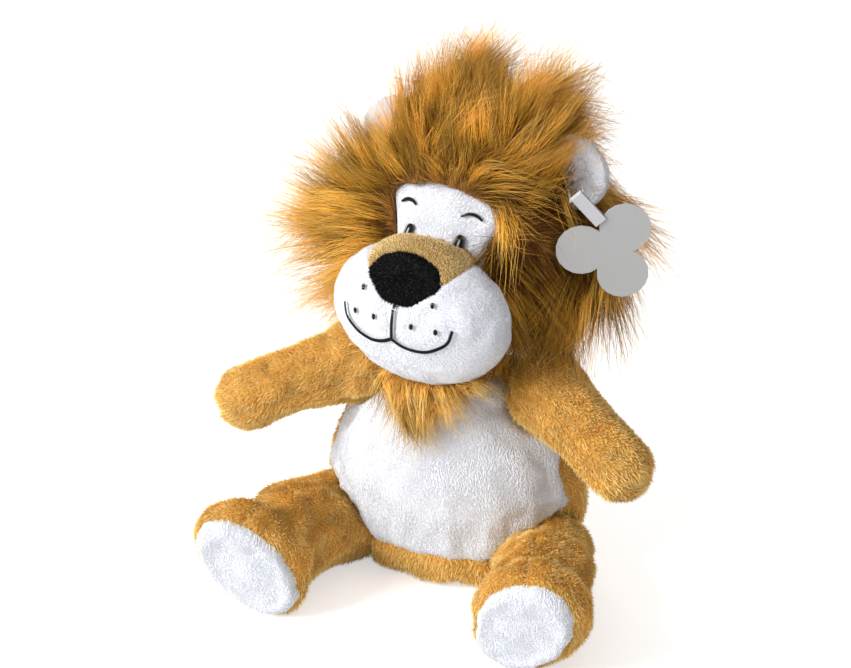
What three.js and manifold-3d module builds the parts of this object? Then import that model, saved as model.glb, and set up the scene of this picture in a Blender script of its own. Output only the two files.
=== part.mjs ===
// A seated plush lion: fabric panels over stuffed cores. Millimetres, +Z up, the face towards -Y, the lion's
// own left on +X and the floor at z = 0. The origin is on the floor, under the neck.
import * as THREE from "three";
import { mergeVertices } from "three/addons/utils/BufferGeometryUtils.js";
import Module from "manifold-3d";

const wasm = await Module();
wasm.setup();

// Cloth and clearances
const fabric = 2.4; // plush cloth with its short pile
const gap = 0.3; // between pieces that touch
const stitchHeight = 0.9; // how proud embroidery stands
const floorPress = 0.5; // how deep the floor flattens what stands on it
const sliver = 0.05; // detail smaller than this, left by a cut, is smoothed away
const overrun = 900; // how far a cutting block runs on
const roundSides = 14; // facets round a stuffed form
const armSides = 12;
const legSides = 12;
const fineSides = 18; // facets round the trunk and the muzzle
const socketSides = 14;

// Trunk
const trunkHeight = 110;
const trunkHalfWidth = 67;
const trunkHalfDepth = 42;
const trunkBack = 7; // the trunk's middle behind the neck
const seatCurve = 14; // height of the rounding into the seat
const shoulderCurve = 13; // height of the rounding at the shoulders
const seatSquareness = 4;
const seatSeam = 20.5; // height of the seam round the seat panel
const bellyLowHalf = 31; // half the belly panel's lower edge
const bellySideHalf = 64; // the belly panel's side corner
const bellySideLevel = 47.6;
const bellyTopHalf = 46;
const bellyWrap = 2; // how far back the belly panel reaches round the sides
// height, half width, half depth and how far back, as shares
const trunkShares = [
  [0.0, 0.88, 0.92, 0.75],
  [0.14, 0.96, 0.97, 0.85],
  [0.34, 1.0, 1.0, 0.93],
  [0.52, 0.96, 0.98, 1.0],
  [0.7, 0.86, 0.92, 1.1],
  [0.86, 0.74, 0.84, 1.1],
  [1.0, 0.62, 0.74, 1.0],
];

// Neck
const neckRadius = 24;
const neckLevel = 114;

// Pouch of weight in the seat
const pouchHalfWidth = 32;
const pouchHalfDepth = 19;
const pouchHalfHeight = 6.5;
const pouchBack = 17;

// Arm: from the shoulder ball to the middle of the hand
const shoulderOut = 51;
const shoulderForward = 2;
const shoulderLevel = 103;
const shoulderRadius = 20;
const armReachOut = 44;
const armReachForward = 28;
const armDrop = 15;
const armBow = 2.5; // how far the arm's middle rises
const armRadius = 16.4;
const handDome = 16;
// share along the arm, and thickness as a share
const armShares = [
  [0.0, 1.04],
  [0.3, 1.06],
  [0.62, 1.0],
  [0.86, 1.02],
  [1.0, 0.99],
];

// Leg: from a drum set aslant in the trunk, which it turns in, to the middle of the sole
const hipOut = 53;
const hipForward = 14;
const hipLevel = 21.3;
const hipRadius = 24;
const hipHalfHeight = 15.5;
const hipSlant = 38; // degrees that the drum leans in towards the belly
const hipLift = 18; // degrees that the leg lifts outwards, where the trunk is cut clear of it
const hipSquareness = 4;
const legReachOut = 17.2;
const legReachForward = 72.6;
const rootHalfLength = 23.5; // the leg's section where it leaves the drum
const rootHalfWidth = 15;
const thighHalfLength = 25;
const thighHalfWidth = 23.5;
const ankleHalfLength = 25;
const ankleHalfWidth = 23;
const footHalfLength = 34;
const footHalfWidth = 24.5;
const soleHalfLength = 32.6;
const soleHalfWidth = 22.4;
const soleLevel = 28.4;
const soleRoll = 40; // degrees that the toes lean outwards
const soleTurn = 4; // degrees that the sole faces inwards
const soleDrop = 9; // degrees that the sole faces down
const soleDome = 5;
const footBend = 24; // how far behind the sole the leg straightens
const thighShare = 0.4;
const ankleShare = 0.63;
const footShare = 0.87;

// Tail
const tailForwardOfBack = 3; // the tail ball's middle inside the trunk's back
const tailLevel = 19;
const tailRootRadius = 7;
const tailRadius = 4.8;
const tailReachBack = 58;
const tailReachSide = 34;
const tailClearance = 1; // between the tail and the floor
const tuftRadius = 8.5;
const tuftLength = 34;

// Head
const headTurn = -11.4; // degrees that the head looks to the lion's own right
const skullHalfWidth = 52;
const skullHalfDepth = 42;
const skullHalfHeight = 46;
const skullBack = 26;
const skullLevel = 176;
const muzzleHalfWidth = 47;
const muzzleHalfDepth = 24;
const muzzleHalfHeight = 34;
const muzzleForward = 26;
const muzzleLevel = 147.5;
const muzzleSquareness = 2.05;
const bridgeHalfWidth = 27.5;
const bridgeHalfDepth = 18;
const bridgeHalfHeight = 21.5;
const bridgeForward = 24;
const bridgeLevel = 164;
const bridgeSquareness = 2.2;
const crestLevel = 184.7; // where the bridge starts to slope down to the forehead
const crestForward = 24;
const crestSlope = 36.5; // degrees

// Face panel, measured from the middle of the face
const foreheadTop = 205.6;
const foreheadHalf = 30.5;
const foreheadCorner = 195.2;
const cheekHalf = 24.3;
const cheekLevel = 176;
const faceFoot = 160; // below the bridge, where the panel is hidden
const noseHalf = 19.8;
const noseCorner = 169.8;
const noseTop = 181;
const noseFoot = 160;
const noseFootHalf = 7;
const bridgeSeamHalf = 26.6; // where the tan bridge's lower seam turns up
const bridgeSeamLevel = 176.8;
const eyeOut = 13.2;
const eyeLevel = 178.8;
const eyeHalfWidth = 3.9;
const eyeHalfHeight = 4.6;
const highlightRadius = 1.2;
const highlightLevel = 179.6;
const browIn = 13;
const browOut = 22;
const browInLevel = 193.3;
const browOutLevel = 191.3;
const browRise = 2.1;
const browWidth = 1.5;
const mouthWidth = 1.7; // of the stitched line
const mouthLevel = 143.4;
const smileHalf = 29.2;
const smileCorner = 152.6;
const smileLowHalf = 12;
const smileLow = 140.2;
const smileMidHalf = 23.8;
const smileMid = 143.8;
const whiskerRadius = 1.15;
const whiskerUpOut = 18.9;
const whiskerUpLevel = 162.8;
const whiskerInOut = 10.1;
const whiskerInLevel = 151.9;
const whiskerSideOut = 21.9;
const whiskerSideLevel = 151.3;

// Mane
const maneRadius = 96;
const maneLevel = 168; // of the mane's middle
const maneFront = -12;
const maneBack = 86;
const maneLean = 20; // how far the crown of the mane leans forward
const maneSweep = 8; // how far the crown is brushed to the lion's left
const maneRightLean = 26; // how far its right side is brushed forward
const maneLeftLean = -9; // its left side lies back under the tag
const maneLeftSpread = -0.06; // share by which the left side lies flatter, and the right side fluffs out
const maneRightSpread = 0.09;
const maneHem = 131; // its lowest edge
const maneSplit = 46; // where the back panel starts
const tuftCount = 13; // locks round the mane
const lockDepth = 0.13; // share of the radius between a lock's tip and its root
// angle from the crown as a share of a half turn, and reach as a share
const maneReachShares = [
  [0.0, 1.0],
  [0.15, 0.96],
  [0.27, 0.67],
  [0.4, 0.79],
  [0.56, 0.82],
  [0.68, 0.76],
  [0.83, 0.56],
  [1.0, 0.48],
];
// depth, radius, lock and lean shares
const maneDepthShares = [
  [0.0, 0.42, 0.0, 0.0],
  [0.08, 0.6, 0.3, 0.3],
  [0.18, 0.8, 0.7, 0.7],
  [0.32, 0.95, 1.0, 1.0],
  [0.46, 1.0, 1.0, 1.0],
  [0.62, 0.95, 0.8, 0.9],
  [0.78, 0.8, 0.5, 0.6],
  [0.91, 0.52, 0.2, 0.3],
];
const beardHalfWidth = 36;
const beardHalfDepth = 6;
const beardTop = 122;
const beardTip = 93;
const beardTopForward = 28;
const beardTipForward = 35;
const beardTipRadius = 4;

// Ear
const earOut = 50;
const earBack = 27;
const earLevel = 210.5;
const earRadius = 18;
const earHalfDepth = 6.5;
const hollowRadius = 12.5;
const hollowHalfDepth = 5;
const hollowForward = 7; // the hollow's middle before the ear's
const hollowDrop = 2.5;

// Hang tag, on its thread loop below the lion's left ear
const threadOut = 61;
const threadBack = 10;
const threadLevel = 207;
const threadRadius = 0.5;
const threadHalf = 3.8; // half the loop's width
const threadReach = 17; // from the strap back into the ear
const tagTurn = 33; // degrees that the card faces outwards
const tagSlant = 42; // degrees that the strap hangs aslant
const strapWidth = 6;
const strapThickness = 0.5;
const strapLength = 17;
const strapTail = 15; // its shorter rear leg
const cardThickness = 0.8;
const lobeRadius = 12;
const lobeReach = 13; // from the card's middle to the middle of a lobe
const cardMiddleRadius = 9;
const cardDown = 30.5; // from the thread to the card's middle, along the strap
const cardAside = -6; // from the strap's line to the card's middle
const lobeTurn = 17; // degrees from the strap's crossing direction to the first lobe

// Colours and finishes
const golden = { color: 0xd39a3e, roughness: 0.95, metalness: 0 };
const white = { color: 0xf2f2f4, roughness: 0.95, metalness: 0 };
const tan = { color: 0xc9a65c, roughness: 0.95, metalness: 0 };
const maneFur = { color: 0xa8702a, roughness: 0.9, metalness: 0 };
const blackPlush = { color: 0x0b0b0c, roughness: 0.9, metalness: 0 };
const darkThread = { color: 0x241f1f, roughness: 0.7, metalness: 0 };
const whiteThread = { color: 0xf4f4f4, roughness: 0.6, metalness: 0 };
const stuffing = { color: 0xe9e9e4, roughness: 1, metalness: 0 };
const pouchCloth = { color: 0xd8d2c2, roughness: 0.9, metalness: 0 };
const greyCard = { color: 0xbdbdbd, roughness: 0.6, metalness: 0 };
const strapWhite = { color: 0xd8d8dc, roughness: 0.5, metalness: 0 };
const clearThread = { color: 0xe6e6ea, roughness: 0.4, metalness: 0 };

const at = (x, y, z) => new THREE.Vector3(x, y, z);
const degrees = THREE.MathUtils.degToRad;
const up = at(0, 0, 1);
const backwards = at(0, 1, 0);

// A three.js geometry as a solid that can be cut and joined.
function solidOf(geometry) {
  const bare = geometry.clone();
  bare.deleteAttribute("normal");
  bare.deleteAttribute("uv");
  const merged = mergeVertices(bare);
  return new wasm.Manifold(
    new wasm.Mesh({
      numProp: 3,
      vertProperties: merged.attributes.position.array,
      triVerts: new Uint32Array(merged.index.array),
    }),
  );
}

function geometryOf(solid) {
  const mesh = solid.getMesh();
  const geometry = new THREE.BufferGeometry();
  geometry.setAttribute("position", new THREE.BufferAttribute(mesh.vertProperties, mesh.numProp));
  geometry.setIndex(new THREE.BufferAttribute(mesh.triVerts, 1));
  geometry.computeVertexNormals();
  return geometry;
}

// The largest body of a cut solid, without the slivers that a cut can leave.
function mainBody(solid) {
  const bodies = solid.decompose();
  return bodies.reduce((best, body) => (body.volume() > best.volume() ? body : best));
}

function joined(solids) {
  return solids.reduce((whole, solid) => whole.add(solid));
}

function cutBy(solid, cutters) {
  return cutters.reduce((rest, cutter) => rest.subtract(cutter), solid);
}

// A closed skin over rings of points, with a pole at each end.
function skinOver(rings, startPole, endPole) {
  const sides = rings[0].length;
  const points = [startPole, ...rings.flat(), endPole];
  const last = rings.length - 1;
  const node = (ring, side) => 1 + ring * sides + (side % sides);
  const faces = [];
  for (let side = 0; side < sides; side += 1) {
    faces.push(0, node(0, side + 1), node(0, side));
    for (let ring = 0; ring < last; ring += 1) {
      faces.push(node(ring, side), node(ring, side + 1), node(ring + 1, side + 1));
      faces.push(node(ring, side), node(ring + 1, side + 1), node(ring + 1, side));
    }
    faces.push(points.length - 1, node(last, side), node(last, side + 1));
  }
  return new THREE.BufferGeometry().setFromPoints(points).setIndex(faces);
}

// A round stuffed form about a centre: squareness 2 is an ellipsoid, and more is boxier.
function globe(centre, radii, squareness = 2, sides = roundSides) {
  const steps = sides / 2;
  const surface = (across, level) => {
    const way = at(Math.cos(across) * Math.cos(level), Math.sin(across) * Math.cos(level), Math.sin(level));
    const sum = way.toArray().reduce((total, part) => total + Math.abs(part) ** squareness, 0);
    return way.multiplyScalar(sum ** (-1 / squareness)).multiply(radii).add(centre);
  };
  const rings = [];
  for (let step = 1; step < steps; step += 1) {
    const level = Math.PI * (step / steps - 1 / 2);
    rings.push(Array.from({ length: sides }, (_, side) => surface((2 * Math.PI * side) / sides, level)));
  }
  return skinOver(rings, surface(0, -Math.PI / 2), surface(0, Math.PI / 2));
}

function ball(centre, radius, sides = roundSides) {
  return globe(centre, at(radius, radius, radius), 2, sides);
}

// A drum with rounded rims about an axis through the origin.
function drum(axis, radius, halfHeight) {
  const steps = legSides / 2;
  const turn = new THREE.Quaternion().setFromUnitVectors(up, axis);
  const power = 2 / hipSquareness;
  const rings = [];
  for (let step = 1; step < steps; step += 1) {
    const level = Math.PI * (step / steps - 1 / 2);
    const reach = radius * Math.cos(level) ** power;
    const height = halfHeight * Math.sign(level) * Math.abs(Math.sin(level)) ** power;
    rings.push(
      Array.from({ length: socketSides }, (_, side) => {
        const across = (2 * Math.PI * side) / socketSides;
        return at(reach * Math.cos(across), reach * Math.sin(across), height).applyQuaternion(turn);
      }),
    );
  }
  const pole = axis.clone().multiplyScalar(halfHeight);
  return skinOver(rings, pole.clone().negate(), pole);
}

// A socket whose facets stay a gap clear of a ball of the radius, however the ball turns.
function socket(centre, radius) {
  return solidOf(ball(centre, (radius + gap) / Math.cos(Math.PI / socketSides) ** 2, socketSides));
}

// Smooth values between the rows of a table, whose first column is the place along it.
function readings(table) {
  const places = table.map((row) => row[0]);
  const size = table[0].length - 1;
  const reader = new THREE.CubicInterpolant(places, table.flatMap((row) => row.slice(1)), size);
  return (place) => Array.from(reader.evaluate(place));
}

// A stuffed tube along a curve. sizeAt gives half its width, half its height and its roll at a share of the way.
function tube({ curve, sizeAt, reference, startDome, endDome, steps, domeSteps, sides, startPower, endPower }) {
  const ring = (centre, share, scale) => {
    const along = curve.getTangent(share);
    const across = reference.clone().cross(along).normalize();
    const over = along.clone().cross(across);
    const [halfWidth, halfHeight, roll = 0] = sizeAt(share);
    return Array.from({ length: sides }, (_, side) => {
      const angle = (2 * Math.PI * side) / sides;
      const wide = halfWidth * scale * Math.cos(angle);
      const high = halfHeight * scale * Math.sin(angle);
      const turnedWide = wide * Math.cos(roll) - high * Math.sin(roll);
      const turnedHigh = wide * Math.sin(roll) + high * Math.cos(roll);
      return centre.clone().addScaledVector(across, turnedWide).addScaledVector(over, turnedHigh);
    });
  };
  const dome = (share, length, power, step) => {
    const angle = (Math.PI / 2) * (step / domeSteps);
    const centre = curve.getPoint(share).addScaledVector(curve.getTangent(share), length * Math.cos(angle) ** power);
    return ring(centre, share, Math.sin(angle) ** power);
  };
  const rings = [];
  for (let step = 1; step < domeSteps; step += 1) {
    rings.push(dome(0, -startDome, startPower, step));
  }
  for (let step = 0; step <= steps; step += 1) {
    rings.push(ring(curve.getPoint(step / steps), step / steps, 1));
  }
  for (let step = domeSteps - 1; step > 0; step -= 1) {
    rings.push(dome(1, endDome, endPower, step));
  }
  const startPole = curve.getPoint(0).addScaledVector(curve.getTangent(0), -startDome);
  const endPole = curve.getPoint(1).addScaledVector(curve.getTangent(1), endDome);
  return skinOver(rings, startPole, endPole);
}

// A skin moved outwards along its own normals, or inwards where the distance is negative.
function moved(skin, distance) {
  const copy = skin.clone();
  copy.computeVertexNormals();
  const { position, normal } = copy.attributes;
  const point = new THREE.Vector3();
  const way = new THREE.Vector3();
  for (let i = 0; i < position.count; i += 1) {
    point.fromBufferAttribute(position, i);
    way.fromBufferAttribute(normal, i);
    point.addScaledVector(way, distance);
    position.setXYZ(i, point.x, point.y, point.z);
  }
  return solidOf(copy);
}

// A block on one side of a plane, the side that the normal points to.
function beyond(point, normal) {
  const block = new THREE.BoxGeometry(overrun, overrun, overrun);
  block.translate(0, 0, overrun / 2);
  block.applyQuaternion(new THREE.Quaternion().setFromUnitVectors(up, normal.clone().normalize()));
  block.translate(point.x, point.y, point.z);
  return solidOf(block);
}

// A form is one or more skins that melt together, flattened by planes. Grown by a distance, all of it moves.
function grown(form, distance) {
  const whole = joined(form.skins.map((skin) => moved(skin, distance)));
  const cutters = form.planes.map(({ point, normal }) => {
    const way = normal.clone().normalize();
    return beyond(point.clone().addScaledVector(way, distance), way);
  });
  return cutBy(whole, cutters);
}

function shellOf(form) {
  return grown(form, 0).subtract(grown(form, -fabric));
}

function coreOf(form) {
  return grown(form, -fabric - gap);
}

// The points of a closed outline in the XZ plane, rounded through its corners.
function roundedOutline(corners, count) {
  const curve = new THREE.CatmullRomCurve3(corners.map(([x, z]) => at(x, 0, z)), true);
  return curve.getPoints(count).slice(1).map((point) => new THREE.Vector2(point.x, point.z));
}

// An outline drawn in by a distance, or let out where it is negative.
function drawnIn(outline, distance) {
  const turn = THREE.ShapeUtils.isClockWise(outline) ? -1 : 1;
  return outline.map((point, i) => {
    const before = outline[(i + outline.length - 1) % outline.length];
    const after = outline[(i + 1) % outline.length];
    const along = after.clone().sub(before).normalize();
    return point.clone().add(new THREE.Vector2(-along.y, along.x).multiplyScalar(distance * turn));
  });
}

// An outline in the XZ plane carried along Y from one depth to another.
function blockOf(outline, front, back) {
  const block = new THREE.ExtrudeGeometry(new THREE.Shape(outline), {
    depth: back - front,
    bevelEnabled: false,
  });
  block.rotateX(Math.PI / 2);
  block.translate(0, back, 0);
  return solidOf(block);
}

function roundOutline(x, z, halfWidth, halfHeight, count) {
  return new THREE.EllipseCurve(x, z, halfWidth, halfHeight, 0, 2 * Math.PI).getPoints(count).slice(1);
}

// The outline of a stitched line of a width along a run of points.
function strokeOutline(points, width) {
  const edge = (way) =>
    points.map((point, i) => {
      const before = points[Math.max(i - 1, 0)];
      const after = points[Math.min(i + 1, points.length - 1)];
      const along = after.clone().sub(before).normalize();
      return point.clone().add(new THREE.Vector2(-along.y, along.x).multiplyScalar((way * width) / 2));
    });
  return [...edge(1), ...edge(-1).reverse()];
}

function curvePoints(corners, count) {
  return new THREE.SplineCurve(corners.map(([x, z]) => new THREE.Vector2(x, z))).getPoints(count);
}

// Embroidery: an outline raised on a form.
function stitched(form, outline) {
  const layer = grown(form, gap + stitchHeight).subtract(grown(form, gap));
  return layer.intersect(blockOf(outline, -overrun, form.middle));
}

function pieceOf(name, solid, finish) {
  const body = mainBody(solid).simplify(sliver);
  const mesh = new THREE.Mesh(geometryOf(body), new THREE.MeshStandardMaterial(finish));
  mesh.name = name;
  return mesh;
}

function mirrored(pieces) {
  const group = new THREE.Group();
  group.add(...pieces);
  group.scale.x = -1;
  return group;
}

const sides = ["left", "right"];
const aboveFloor = (solid) => solid.subtract(beyond(at(0, 0, 0), at(0, 0, -1)));
const leftOfMiddle = (inset) => beyond(at(inset, 0, 0), at(1, 0, 0));

// The trunk: a pear shape on a flat seat, with a socket for each limb.
const trunkForm = (() => {
  const foot = seatCurve - floorPress;
  const shoulders = trunkHeight - shoulderCurve;
  const read = readings(trunkShares);
  const levels = (share) => {
    const [width, depth, back] = read(share);
    return at(width * trunkHalfWidth, depth * trunkHalfDepth, back * trunkBack);
  };
  const middles = trunkShares.map(([share]) =>
    at(0, levels(share).z, THREE.MathUtils.lerp(foot, shoulders, share)),
  );
  const skin = tube({
    curve: new THREE.CatmullRomCurve3(middles),
    sizeAt: (share) => levels(share).toArray().slice(0, 2),
    reference: backwards,
    startDome: seatCurve,
    endDome: shoulderCurve,
    steps: 7,
    domeSteps: 3,
    sides: fineSides,
    startPower: 2 / seatSquareness,
    endPower: 1,
  });
  return { skins: [skin], planes: [] };
})();

const neckCentre = at(0, 0, neckLevel);
const shoulderCentre = at(shoulderOut, -shoulderForward, shoulderLevel);
const hipCentre = at(hipOut, -hipForward, hipLevel);
const trunkBackAt = trunkBack * 0.8 + trunkHalfDepth;
const tailCentre = at(0, trunkBackAt - tailForwardOfBack, tailLevel);
const mirrorX = (point) => at(-point.x, point.y, point.z);

function trunkPieces() {
  const fitted = drum(hipAxis, (hipRadius + gap) / Math.cos(Math.PI / socketSides) ** 2, hipHalfHeight + gap);
  const aroundLeg = grown(legForm, gap);
  const lifted = new THREE.Matrix4().makeRotationAxis(hipAxis, degrees(hipLift));
  const raised = aroundLeg.transform(lifted.elements);
  const hipSocket = solidOf(fitted).add(aroundLeg).add(raised).translate(hipCentre.toArray());
  const sockets = [
    socket(tailCentre, tailRootRadius),
    ...[shoulderCentre, mirrorX(shoulderCentre)].map((centre) => socket(centre, shoulderRadius)),
    hipSocket,
    hipSocket.mirror([1, 0, 0]),
  ];
  const shell = cutBy(aboveFloor(shellOf(trunkForm)), sockets);
  const seatBlock = beyond(at(0, 0, seatSeam), at(0, 0, -1));
  const aboveSeat = beyond(at(0, 0, seatSeam + gap), up);
  const corners = [
    [bellyLowHalf, seatSeam],
    [bellySideHalf, bellySideLevel],
    [bellyTopHalf, trunkHeight],
  ];
  const half = corners.map(([x, z]) => new THREE.Vector2(x, z));
  const bellyOutline = [...half, ...half.map((point) => new THREE.Vector2(-point.x, point.y)).reverse()];
  const belly = blockOf(drawnIn(bellyOutline, gap), -overrun, bellyWrap);
  const aroundBelly = blockOf(bellyOutline, -overrun, bellyWrap + gap);
  const back = shell.intersect(aboveSeat).subtract(aroundBelly).intersect(leftOfMiddle(gap / 2));
  const pouch = globe(
    at(0, pouchBack, fabric + gap + pouchHalfHeight),
    at(pouchHalfWidth, pouchHalfDepth, pouchHalfHeight),
  );
  const core = aboveFloor(coreOf(trunkForm)).subtract(beyond(at(0, 0, fabric + gap), at(0, 0, -1)));
  const filled = cutBy(core, sockets).subtract(moved(pouch, gap));
  const neck = solidOf(ball(neckCentre, neckRadius)).subtract(grown(trunkForm, gap));
  const left = pieceOf("back_panel_left", back, golden);
  const right = pieceOf("back_panel_right", back, golden);
  return [
    pieceOf("belly_panel", shell.intersect(aboveSeat).intersect(belly), white),
    left,
    mirrored([right]),
    pieceOf("seat_panel", shell.intersect(seatBlock), golden),
    pieceOf("trunk_stuffing", filled, stuffing),
    pieceOf("neck", neck, maneFur),
    pieceOf("seat_pouch", solidOf(pouch), pouchCloth),
  ];
}

// An arm about its shoulder ball, of an upper and an under panel with the seam along it.
function armPieces(side) {
  const hand = at(armReachOut, -armReachForward, -armDrop);
  const middle = hand.clone().multiplyScalar(1 / 2).addScaledVector(up, armBow);
  const read = readings(armShares);
  const limb = tube({
    curve: new THREE.QuadraticBezierCurve3(at(0, 0, 0), middle, hand),
    sizeAt: (share) => [armRadius * read(share)[0], armRadius * read(share)[0]],
    reference: up,
    startDome: armRadius / 2,
    endDome: handDome,
    steps: 5,
    domeSteps: 3,
    sides: armSides,
    startPower: 1,
    endPower: 1,
  });
  const form = { skins: [ball(at(0, 0, 0), shoulderRadius, armSides), limb], planes: [] };
  const shell = shellOf(form);
  const across = up.clone().cross(hand);
  const normal = hand.clone().cross(across).normalize();
  const seam = normal.clone().multiplyScalar(gap / 2);
  const name = "arm_" + side;
  return [
    pieceOf(name + "_upper_panel", shell.intersect(beyond(seam, normal)), golden),
    pieceOf(name + "_under_panel", shell.intersect(beyond(seam.negate(), normal.clone().negate())), golden),
    pieceOf(name + "_stuffing", coreOf(form), stuffing),
  ];
}

// The drum's axis, which the leg swings about.
const hipAxis = at(-Math.sin(degrees(hipSlant)), 0, Math.cos(degrees(hipSlant)));

// A leg about its drum: a thigh, a drawn-in ankle, and a foot whose white sole stands upright.
const soleCentre = at(legReachOut, -legReachForward, soleLevel - hipLevel);
const soleFacing = at(0, -1, 0)
  .applyAxisAngle(at(1, 0, 0), degrees(soleDrop))
  .applyAxisAngle(up, degrees(-soleTurn));

const legForm = (() => {
  const rootRoll = degrees(hipSlant - 90);
  const roll = degrees(-soleRoll);
  const read = readings([
    [0, rootHalfWidth, rootHalfLength, rootRoll],
    [thighShare, thighHalfWidth, thighHalfLength, (rootRoll + roll) / 2],
    [ankleShare, ankleHalfWidth, ankleHalfLength, roll],
    [footShare, footHalfWidth, footHalfLength, roll],
    [1, soleHalfWidth, soleHalfLength, roll],
  ]);
  const limb = tube({
    curve: new THREE.QuadraticBezierCurve3(
      at(0, 0, 0),
      soleCentre.clone().addScaledVector(soleFacing, -footBend),
      soleCentre,
    ),
    sizeAt: read,
    reference: up,
    startDome: rootHalfWidth / 2,
    endDome: soleDome,
    steps: 6,
    domeSteps: 2,
    sides: legSides,
    startPower: 1,
    endPower: 1 / 2,
  });
  const floor = { point: at(0, 0, -hipLevel), normal: at(0, 0, -1) };
  return { skins: [drum(hipAxis, hipRadius, hipHalfHeight), limb], planes: [floor] };
})();

function legPieces(side) {
  const shell = shellOf(legForm);
  const outwards = up.clone().cross(at(soleCentre.x, soleCentre.y, 0)).normalize();
  const seam = outwards.clone().multiplyScalar(gap / 2);
  const upper = shell.subtract(beyond(soleCentre, soleFacing));
  const sole = shell.intersect(beyond(soleCentre.clone().addScaledVector(soleFacing, gap), soleFacing));
  const name = "leg_" + side;
  return [
    pieceOf(name + "_outer_panel", upper.intersect(beyond(seam, outwards)), golden),
    pieceOf(name + "_inner_panel", upper.intersect(beyond(seam.negate(), outwards.clone().negate())), golden),
    pieceOf("sole_" + side, sole, white),
    pieceOf(name + "_stuffing", coreOf(legForm), stuffing),
  ];
}

// The tail about its root ball, lying just clear of the floor and ending in a tuft.
function tailPieces() {
  const low = tuftRadius + tailClearance - tailLevel;
  const curve = new THREE.CatmullRomCurve3([
    at(0, 0, 0),
    at(0, tailReachBack * 0.3, low * 0.45),
    at(-tailReachSide * 0.35, tailReachBack * 0.75, low * 0.9),
    at(-tailReachSide, tailReachBack, low),
  ]);
  const cord = tube({
    curve,
    sizeAt: () => [tailRadius, tailRadius],
    reference: up,
    startDome: tailRadius / 2,
    endDome: tailRadius,
    steps: 8,
    domeSteps: 2,
    sides: 10,
    startPower: 1,
    endPower: 1,
  });
  const end = curve.getPoint(1);
  const way = curve.getTangent(1).setZ(0).normalize();
  const tuft = tube({
    curve: new THREE.LineCurve3(end.clone().addScaledVector(way, -tailRadius), end.clone().addScaledVector(way, tuftLength)),
    sizeAt: (share) => {
      const radius = tuftRadius * (1 - share ** 2 * 0.75);
      return [radius, radius];
    },
    reference: up,
    startDome: tuftRadius / 2,
    endDome: tailRadius,
    steps: 4,
    domeSteps: 2,
    sides: 12,
    startPower: 1,
    endPower: 1,
  });
  const root = { skins: [ball(at(0, 0, 0), tailRootRadius, 12), cord], planes: [] };
  return [
    pieceOf("tail_tube", grown(root, 0), golden),
    pieceOf("tail_tuft", solidOf(tuft).subtract(grown(root, gap)), maneFur),
  ];
}

// The head's two stuffed forms: the round skull, and the muzzle with the bridge of the nose.
const skullForm = {
  skins: [globe(at(0, skullBack, skullLevel), at(skullHalfWidth, skullHalfDepth, skullHalfHeight), 2, fineSides)],
  planes: [],
  middle: skullBack,
};
const muzzleForm = {
  skins: [
    globe(
      at(0, -muzzleForward, muzzleLevel),
      at(muzzleHalfWidth, muzzleHalfDepth, muzzleHalfHeight),
      muzzleSquareness,
      fineSides,
    ),
    globe(
      at(0, -bridgeForward, bridgeLevel),
      at(bridgeHalfWidth, bridgeHalfDepth, bridgeHalfHeight),
      bridgeSquareness,
    ),
  ],
  planes: [
    {
      point: at(0, -crestForward, crestLevel),
      normal: at(0, Math.sin(degrees(crestSlope)), Math.cos(degrees(crestSlope))),
    },
  ],
  middle: -muzzleForward,
};

const faceOutline = roundedOutline(
  [
    [0, foreheadTop],
    [foreheadHalf * 0.62, (foreheadTop * 2 + foreheadCorner) / 3],
    [foreheadHalf, foreheadCorner],
    [cheekHalf * 1.06, (foreheadCorner + cheekLevel) / 2],
    [cheekHalf, cheekLevel],
    [cheekHalf, faceFoot],
    [-cheekHalf, faceFoot],
    [-cheekHalf, cheekLevel],
    [-cheekHalf * 1.06, (foreheadCorner + cheekLevel) / 2],
    [-foreheadHalf, foreheadCorner],
    [-foreheadHalf * 0.62, (foreheadTop * 2 + foreheadCorner) / 3],
  ],
  44,
);

const noseOutline = roundedOutline(
  [
    [0, noseTop],
    [noseHalf * 0.72, (noseTop * 2 + noseCorner) / 3],
    [noseHalf, noseCorner],
    [noseHalf * 0.72, (noseCorner + noseFoot) / 2],
    [noseFootHalf, noseFoot],
    [-noseFootHalf, noseFoot],
    [-noseHalf * 0.72, (noseCorner + noseFoot) / 2],
    [-noseHalf, noseCorner],
    [-noseHalf * 0.72, (noseTop * 2 + noseCorner) / 3],
  ],
  36,
);

// Everything above the seam that runs from each nose corner out to the side of the bridge.
const bridgeOutline = [
  [0, noseCorner],
  [noseHalf, noseCorner],
  [bridgeSeamHalf, bridgeSeamLevel],
  [bridgeSeamHalf, foreheadTop],
  [-bridgeSeamHalf, foreheadTop],
  [-bridgeSeamHalf, bridgeSeamLevel],
  [-noseHalf, noseCorner],
].map(([x, z]) => new THREE.Vector2(x, z));

function facePieces() {
  const neck = socket(neckCentre, neckRadius);
  const skull = shellOf(skullForm);
  const muzzle = shellOf(muzzleForm).subtract(grown(skullForm, gap));
  const nose = blockOf(drawnIn(noseOutline, gap), -overrun, -bridgeForward);
  const roundNose = blockOf(noseOutline, -overrun, -bridgeForward);
  const bridge = blockOf(drawnIn(bridgeOutline, gap), -overrun, skullBack);
  const roundBridge = blockOf(bridgeOutline, -overrun, skullBack);
  const facePanel = skull
    .intersect(blockOf(drawnIn(faceOutline, gap), -overrun, skullBack))
    .subtract(grown(muzzleForm, gap));
  const inner = coreOf(skullForm).add(coreOf(muzzleForm));
  return [
    pieceOf("face_panel", facePanel, white),
    pieceOf("muzzle_panel", cutBy(muzzle, [roundNose, roundBridge, neck]), white),
    pieceOf("nose_bridge", muzzle.intersect(bridge).subtract(roundNose), tan),
    pieceOf("nose", muzzle.intersect(nose), blackPlush),
    pieceOf("head_stuffing", inner.subtract(neck), stuffing),
  ];
}

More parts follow.
